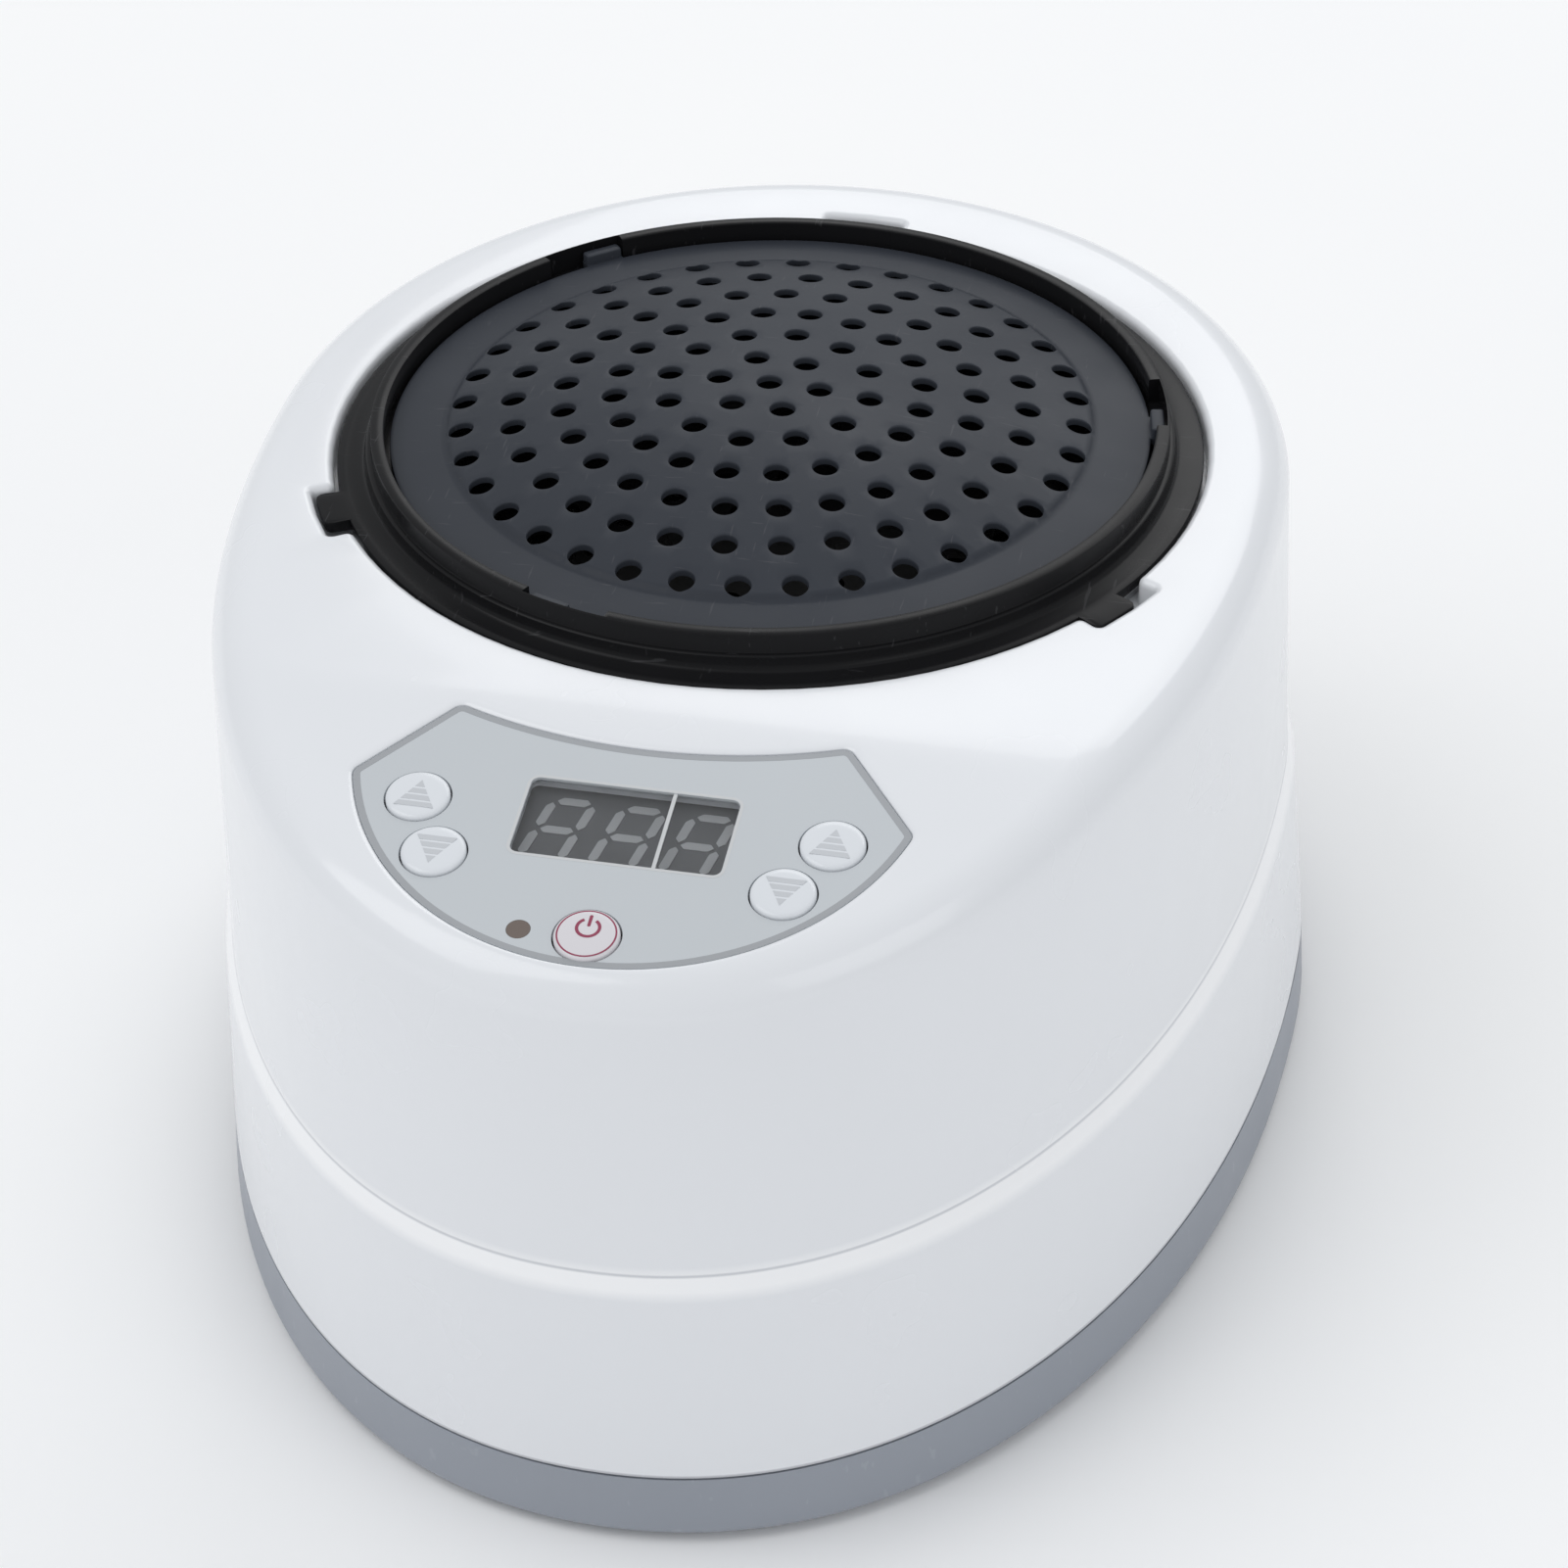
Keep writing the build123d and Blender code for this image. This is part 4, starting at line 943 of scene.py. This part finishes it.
def seat_hole(outline):
    """Loops at the seat and at the plate's underside for a hole square to the panel."""
    top = panel_loop(outline, -OVERLAY_T)
    depth = TOP_PLATE * math.cos(SLOPE) - PANEL_SINK
    return top, panel_loop(outline, -depth)


# ---- collar and lid: loops with tabs or lugs ----
def polar_loop(stops, z):
    """Closed loop from (degrees, radius) stops about the ring axis."""
    points = []
    for degrees, radius in stops:
        turn = math.radians(degrees)
        points.append(Vector((RING_X + radius * math.cos(turn), RING_Y + radius * math.sin(turn), z)))
    return points


def feature_stops():
    """Angles round the collar, each with how far into a tab and a lug slot it lies."""
    stops = []
    tabs = [TAB_ANGLE + 120 * i for i in range(3)]
    slots = [LUG_ANGLE + 120 * i + LID_TURN / 2 for i in range(3)]
    slot_half = LUG_HALF + LID_TURN / 2 + LUG_PLAY
    marks = []
    for middle in tabs:
        corner = math.degrees(TAB_CORNER_R / TAB_R)
        for side in (-1, 1):
            edge = middle + side * TAB_HALF
            inner = [(edge, 0.0), (edge, TAB_FLANK)]
            for a in (math.radians(30 * k) for k in (1, 2, 3)):
                share = TAB_FLANK + (1 - TAB_FLANK) * math.sin(a)
                inner.append((edge - side * corner * (1 - math.cos(a)), share))
            if side > 0:
                inner.reverse()
            marks += [(a % 360, f, None) for a, f in inner]
    for middle in slots:
        start = (middle - slot_half) % 360
        end = (middle + slot_half) % 360
        marks += [(start, None, 0.0), (start + 1e-7, None, 1.0), (end, None, 1.0), (end + 1e-7, None, 0.0)]
    for i in range(round(360 / STOP_STEP)):
        angle = i * STOP_STEP
        if all(min(abs(angle - m[0]), 360 - abs(angle - m[0])) > 0.4 for m in marks):
            marks.append((angle, None, None))
    order = {id(m): i for i, m in enumerate(marks)}
    marks.sort(key=lambda m: (round(m[0], 5), order[id(m)]))
    for angle, tab, slot in marks:
        if tab is None:
            tab = 1.0 if any(abs((angle - m + 180) % 360 - 180) < TAB_HALF for m in tabs) else 0.0
        if slot is None:
            slot = 1.0 if any(abs((angle - m + 180) % 360 - 180) < slot_half for m in slots) else 0.0
        stops.append((angle, tab, slot))
    return stops


def collar():
    """Black collar: flange with three tabs, hollow wall, thin rim with lug slots, skirt."""
    stops = feature_stops()

    def loop(z, radius, tab=0.0, slot=0.0):
        return polar_loop([(a, radius + tab * t + slot * s) for a, t, s in stops], z)

    tab = TAB_R - FLANGE_R
    slot = LUG_ROOM_R - RIM_BORE_R
    slot_z = LID_Z - 0.3
    rows = [
        loop(COLLAR_LOW.z, SKIRT_R - SKIRT_T),
        loop(COLLAR_LOW.z, SKIRT_R),
        loop(FLANGE_Z, SKIRT_R),
        loop(FLANGE_Z, FLANGE_R - EDGE_SOFT, tab),
        loop(FLANGE_Z + 0.1, FLANGE_R - 0.1, tab),
        loop(FLANGE_Z + EDGE_SOFT, FLANGE_R, tab),
        loop(FLANGE_TOP_Z - EDGE_SOFT, FLANGE_R, tab),
        loop(FLANGE_TOP_Z - 0.1, FLANGE_R - 0.1, tab),
        loop(FLANGE_TOP_Z, FLANGE_R - EDGE_SOFT, tab),
        loop(FLANGE_TOP_Z, FLANGE_R - 1.5),
    ]
    rows += [loop(FLANGE_TOP_Z + h, r) for r, h in COVE]
    rows += [
        loop(FLANGE_TOP_Z + 2.72, RIM_R + 0.1),
        loop(FLANGE_TOP_Z + 2.95, RIM_R),
        loop(RIM_TOP_Z - 0.5, RIM_R),
        loop(RIM_TOP_Z - 0.14, RIM_R - 0.12),
        loop(RIM_TOP_Z, RIM_R - 0.45),
        loop(RIM_TOP_Z, RIM_BORE_R + 0.35, slot=slot - 0.35),
        loop(RIM_TOP_Z - 0.1, RIM_BORE_R + 0.1, slot=slot - 0.1),
        loop(RIM_TOP_Z - 0.35, RIM_BORE_R, slot=slot),
        loop(slot_z, RIM_BORE_R, slot=slot),
        loop(slot_z, RIM_BORE_R),
        loop(SEAT_Z, RIM_BORE_R),
        loop(SEAT_Z, SKIRT_R - SKIRT_T),
        loop(COLLAR_LOW.z, SKIRT_R - SKIRT_T),
    ]
    sheet = Sheet()
    sheet.strips(rows)
    ring = sheet.build("collar", 30.0, 1e-3)
    dress(ring, "black_collar")
    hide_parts("collar_ring")
    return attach(ring, "collar")


def lid_top(x, y):
    """Height of the lid's upper face."""
    r = math.hypot(x - RING_X, y - RING_Y)
    edge_z = CROWN_Z - DOME_DROP
    foot_z = LID_Z + LID_T + MARGIN_RISE
    if r <= DOME_EDGE_R:
        radius = (DOME_EDGE_R**2 + DOME_DROP**2) / (2 * DOME_DROP)
        return CROWN_Z - radius + math.sqrt(radius**2 - r * r)
    if r <= DOME_FOOT_R:
        t = (r - DOME_EDGE_R) / (DOME_FOOT_R - DOME_EDGE_R)
        return edge_z + (foot_z - edge_z) * t * t * (3 - 2 * t)
    return foot_z - MARGIN_RISE * (r - DOME_FOOT_R) / (LID_R - 0.4 - DOME_FOOT_R)


def lid_under(x, y):
    """Height of the lid's lower face."""
    return max(lid_top(x, y) - LID_T, LID_Z)


def hole_places():
    """Centre hole, then rings of evenly spaced holes."""
    places = [(RING_X, RING_Y)]
    for k, count in enumerate(HOLE_COUNTS, start=1):
        for i in range(count):
            turn = math.radians(HOLE_TURN + 360 / count * i)
            reach = HOLE_PITCH * k
            places.append((RING_X + reach * math.cos(turn), RING_Y + reach * math.sin(turn)))
    return places


def lid_stops():
    """(degrees, share of the lug's reach) round the lid's edge."""
    stops = []
    near = LUG_CORNER / 3
    far = LUG_CORNER
    for middle in [LUG_ANGLE + 120 * i for i in range(3)]:
        low = middle - LUG_HALF
        high = middle + LUG_HALF
        stops += [(low, 0.0), (low, 0.8), (low + near, 0.95), (low + far, 1.0)]
        stops += [(middle, 1.0), (high - far, 1.0), (high - near, 0.95), (high, 0.8), (high, 0.0)]
        stops += [(high + (120 - 2 * LUG_HALF) * i / 72, 0.0) for i in range(1, 72)]
    return stops


def lid():
    """Domed, perforated lid with softened hole edges and three lugs."""
    sheet = Sheet()
    stops = lid_stops()
    reach = LUG_R - LID_R

    def loop(z, inset=0.0):
        return polar_loop([(a, LID_R - inset + reach * f) for a, f in stops], z)

    top = LID_Z + LID_T
    rows = [loop(LID_Z, 0.2), loop(LID_Z + 0.2), loop(top - 0.35), loop(top - 0.1, 0.1), loop(top, 0.35)]
    sheet.strips(rows)
    inner = ring_points(LID_R - 0.75, 0)
    inner_top = [Vector((p.x, p.y, lid_top(p.x, p.y))) for p in inner]
    inner_low = [Vector((p.x, p.y, LID_Z)) for p in inner]
    sheet.patch(rows[-1], [inner_top])
    sheet.patch(rows[0], [inner_low])
    field = [p for r in LID_RINGS for p in circle(RING_X, RING_Y, r, RING_COUNT)]
    for k in range(1, 22):
        field += circle(RING_X, RING_Y, CROWN_STEP * k, 12 * k)
    holes = hole_places()
    spots = clear_of(field, holes, HOLE_R + HOLE_EDGE + 0.5)
    mouths = [lifted(circle(x, y, HOLE_R + HOLE_EDGE, HOLE_POINTS), lid_top) for x, y in holes]
    low_mouths = [lifted(circle(x, y, HOLE_R, HOLE_POINTS), lid_under) for x, y in holes]
    sheet.patch(inner_top, mouths, lifted(spots, lid_top), lid_top)
    sheet.patch(inner_low, low_mouths, lifted(spots, lid_under), lid_under)
    for (x, y), low in zip(holes, low_mouths):
        rows = []
        for share, drop in HOLE_ROUND:
            ring = circle(x, y, HOLE_R + HOLE_EDGE * share, HOLE_POINTS)
            rows.append([Vector((p.x, p.y, lid_top(p.x, p.y) - drop)) for p in ring])
        sheet.strips([*rows, low])
    for i in range(3):
        lug_grip(sheet, LUG_ANGLE + 120 * i)
    cover = sheet.build("lid", 35.0, 1e-3)
    dress(cover, "black_lid")
    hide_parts("herb_lid")
    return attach(cover, "lid")


def lug_grip(sheet, middle):
    """Raised block on a lug, rounded at its corners and top."""
    turn = Matrix.Rotation(math.radians(middle), 2)
    width = LUG_R * math.radians(LUG_HALF) * 2 - 0.3
    depth = LUG_R - LID_R - 0.15
    rows = []
    for inset, z in ((0, LID_Z + 0.4), (0, GRIP_Z - 0.4), (0.12, GRIP_Z - 0.12), (0.4, GRIP_Z)):
        flat = grown(rounded_box(LID_R + depth / 2, 0, depth, width, 0.6), -inset)
        place = [turn @ p + Vector((RING_X, RING_Y)) for p in flat]
        rows.append(lifted(place, z))
    sheet.strips(rows)
    sheet.patch(rows[0])
    sheet.patch(rows[-1])


def clear_of(points, centres, distance):
    """Points that lie further than a distance from every centre."""
    limit = distance**2
    out = []
    for p in points:
        if all((p.x - x) ** 2 + (p.y - y) ** 2 > limit for x, y in centres):
            out.append(p)
    return out


# ---- control panel ----
def flat_piece(name, outer, holes, h, thickness):
    """Thin plate parallel to the panel with its top at a height."""
    sheet = Sheet()
    for level in (h, h - thickness):
        sheet.patch(panel_loop(outer, level), [panel_loop(hole, level) for hole in holes])
    for outline in (outer, *holes):
        sheet.strip(panel_loop(outline, h), panel_loop(outline, h - thickness))
    return sheet.build(name)


def overlay():
    """Film over the panel with its openings."""
    holes = [rounded_box(*WINDOW)]
    holes += [circle(x, s, BUTTON_R + BUTTON_GAP, 64) for x, s, _ in BUTTONS.values()]
    holes.append(circle(*IR_PLACE, IR_R, 32))
    film = flat_piece("overlay", grown(panel_outline(), -PANEL_GAP), holes, 0, OVERLAY_T)
    dress(film, "overlay_film")
    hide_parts("panel_overlay")
    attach(film, "housing")


def printed(name, outer, holes, body, finish, h=0.0, slot="overlay_film"):
    """A printed line or shape: a very thin raised layer."""
    ink = flat_piece(name, outer, holes, h + PRINT_T, PRINT_T)
    dress(ink, slot, finish)
    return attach(ink, body)


def overlay_prints():
    """Dark border round the film and the paler line round its window."""
    edge = panel_outline()
    printed("border_line", grown(edge, -0.15), [grown(edge, -1.2)], "housing", "border_ink")
    x, s, w, h, r = WINDOW
    frame_line = rounded_box(x, s, w + 1.1, h + 1.1, r + 0.5)
    printed("window_line", frame_line, [rounded_box(x, s, w + 0.1, h + 0.1, r)], "housing", "window_ink")


def button(name, x, s, kind):
    """Key cap with a soft edge, its lip and stem under the housing, and its print."""
    sheet = Sheet()
    rows = []
    for r, h in KEY_PROFILE:
        rows.append([on_panel(x + p.x, s + p.y, h - KEY_SINK) for p in circle(0, 0, max(r, 1e-3), 72)])
    sheet.strips(rows)
    sheet.patch(rows[0])
    sheet.patch(rows[-1])
    cap = sheet.build(f"{name}_cap", 40.0, 1e-4)
    slot = "power_cap" if kind == "power" else "button_cap"
    dress(cap, slot)
    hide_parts(name)
    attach(cap, name)
    if kind == "power":
        power_print(name, x, s)
    else:
        arrow_print(name, x, s, kind)


def arrow_print(name, x, s, kind):
    """Triangle cut into bars, pointing up or down."""
    sign = 1 if kind == "up" else -1
    apex = ARROW_BARS[0][0]
    for i, (high, low) in enumerate(ARROW_BARS):
        half_high = max((apex - high) * ARROW_LEAN, 0.02)
        half_low = (apex - low) * ARROW_LEAN
        corners = [(-half_low, low), (half_low, low), (half_high, high), (-half_high, high)]
        outline = [Vector((x + cx, s + sign * cy)) for cx, cy in corners]
        if sign < 0:
            outline.reverse()
        printed(f"{name}_bar_{i + 1}", outline, [], name, "key_ink", KEY_PRINT_H, "button_cap")


def power_print(name, x, s):
    """Ring, broken circle and bar of a standby sign."""
    h = KEY_PRINT_H
    outer, inner = [circle(x, s, BUTTON_R - inset, 96) for inset in KEY_RING]
    printed(f"{name}_ring", outer, [inner], name, "power_ink", h - 0.12, "power_cap")
    centre = (x, s + SIGN_RISE)
    start = math.pi / 2 + SIGN_GAP
    end = math.pi / 2 + 2 * math.pi - SIGN_GAP
    outer = arc_points(centre, SIGN_R, start, end, 40)
    inner = arc_points(centre, SIGN_R - SIGN_W, end, start, 40)
    printed(f"{name}_sign", outer + inner, [], name, "power_ink", h, "power_cap")
    bar = rounded_box(x, centre[1] + 1.4, SIGN_W, 2.3, 0.2)
    printed(f"{name}_bar", bar, [], name, "power_ink", h, "power_cap")


def display_digits():
    """Three slanted seven-segment figures, unlit, and the bar between two of them."""
    x0, s0, _, h, _ = WINDOW
    half = DIGIT_TALL / 4
    t = SEGMENT_W / 2
    end = DIGIT_WIDE / 2 - SEGMENT_END
    across = [(-end, 0), (-end + t, t), (end - t, t), (end, 0), (end - t, -t), (-end + t, -t)]
    end = half - SEGMENT_GAP
    along = [(0, end), (-t, end - t), (-t, -end + t), (0, -end), (t, -end + t), (t, end - t)]
    places = [(across, 0, level) for level in (-DIGIT_TALL / 2, 0, DIGIT_TALL / 2)]
    places += [(along, side * DIGIT_WIDE / 2, level) for side in (-1, 1) for level in (-half, half)]
    for d in range(3):
        middle = x0 + (d - 1) * DIGIT_PITCH
        sheet = Sheet()
        for shape, dx, ds in places:
            outline = [Vector((middle + dx + px + (ds + py) * DIGIT_LEAN, s0 + ds + py)) for px, py in shape]
            if signed_area(outline) < 0:
                outline.reverse()
            low = panel_loop(outline, DISPLAY_H)
            high = panel_loop(outline, DISPLAY_H + DIGIT_T)
            sheet.patch(high)
            sheet.patch(low)
            sheet.strip(high, low)
        digit = sheet.build(f"digit_{d + 1}", SHARP, 1e-4)
        dress(digit, "display_face", "segment")
        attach(digit, "housing")
    bar_x = x0 + 0.5 * DIGIT_PITCH + 0.6
    corners = [(-BAR_HALF, -h / 2), (BAR_HALF, -h / 2), (BAR_HALF, h / 2), (-BAR_HALF, h / 2)]
    outline = [Vector((bar_x + px, s0 + py)) for px, py in corners]
    bar = flat_piece("window_bar", outline, [], -0.12, 0.35)
    dress(bar, "overlay_film", "window_ink")
    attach(bar, "housing")


def signed_area(outline):
    """Area of a closed outline, negative when it runs clockwise."""
    count = len(outline)
    total = 0.0
    for i, p in enumerate(outline):
        q = outline[(i + 1) % count]
        total += p.x * q.y - q.x * p.y
    return total / 2


# ---- stage ----
def place_camera():
    """Long-lens view from above, in front and a little to the right."""
    azimuth = math.radians(12.396)
    elevation = math.radians(36.698)
    roll = math.radians(-0.788)
    distance = 0.59625
    target = Vector((0.02481, -0.08677, 0.13))
    level = math.cos(elevation)
    back = Vector((math.sin(azimuth) * level, -math.cos(azimuth) * level, math.sin(elevation)))
    right = (-back).cross(Vector((0, 0, 1))).normalized()
    up = right.cross(-back)
    side = right * math.cos(roll) + up * math.sin(roll)
    top = up * math.cos(roll) - right * math.sin(roll)
    data = bpy.data.cameras.new("camera")
    data.lens = 89.68
    data.sensor_width = 36.0
    data.clip_start = 0.01
    data.clip_end = 20.0
    camera = bpy.data.objects.new("camera", data)
    matrix = Matrix((side, top, back)).transposed().to_4x4()
    matrix.translation = target + back * distance
    camera.matrix_world = matrix
    bpy.context.scene.collection.objects.link(camera)
    bpy.context.scene.camera = camera


def softbox(name, place, aim, width, height, power):
    """White rectangular lamp at a place, turned toward an aim."""
    data = bpy.data.lights.new(name, "AREA")
    data.shape = "RECTANGLE"
    data.size = width
    data.size_y = height
    data.energy = power
    lamp = bpy.data.objects.new(name, data)
    lamp.location = place
    lamp.rotation_mode = "QUATERNION"
    lamp.rotation_quaternion = (Vector(aim) - Vector(place)).to_track_quat("-Z", "Y")
    bpy.context.scene.collection.objects.link(lamp)


def set_stage():
    """Plain pale floor under soft, nearly even studio light."""
    bpy.ops.mesh.primitive_plane_add(size=8.0, location=(0, 0, CAD_LOW.z))
    floor = bpy.context.object
    floor.name = "floor"
    finish = Finish("floor_paper", (0.97, 0.97, 0.97), 0.9)
    finish.tint(finish.ramp(finish.noise(3.0, 3.0), 0.4, 0.7), (0.955, 0.957, 0.965))
    floor.data.materials.append(finish.material)
    world = bpy.data.worlds.new("studio")
    world.use_nodes = True
    background = world.node_tree.nodes["Background"]
    background.inputs["Color"].default_value = (0.96, 0.98, 1.0, 1)
    background.inputs["Strength"].default_value = 0.66
    bpy.context.scene.world = world
    softbox("key", (-0.9, -0.5, 1.5), (0, 0, 0.08), 1.2, 1.2, 7.5)
    softbox("fill", (1.2, -0.9, 0.9), (0, 0, 0.08), 1.0, 1.0, 2.6)
    softbox("back", (0.2, 1.3, 1.1), (0, 0, 0.1), 1.4, 0.7, 5.5)
    bpy.context.scene.view_settings.view_transform = "Standard"


place_camera()
set_stage()
dress_cad()
housing_shell()
collar()
lid()
overlay()
overlay_prints()
for button_name, place in BUTTONS.items():
    button(button_name, *place)
display_digits()
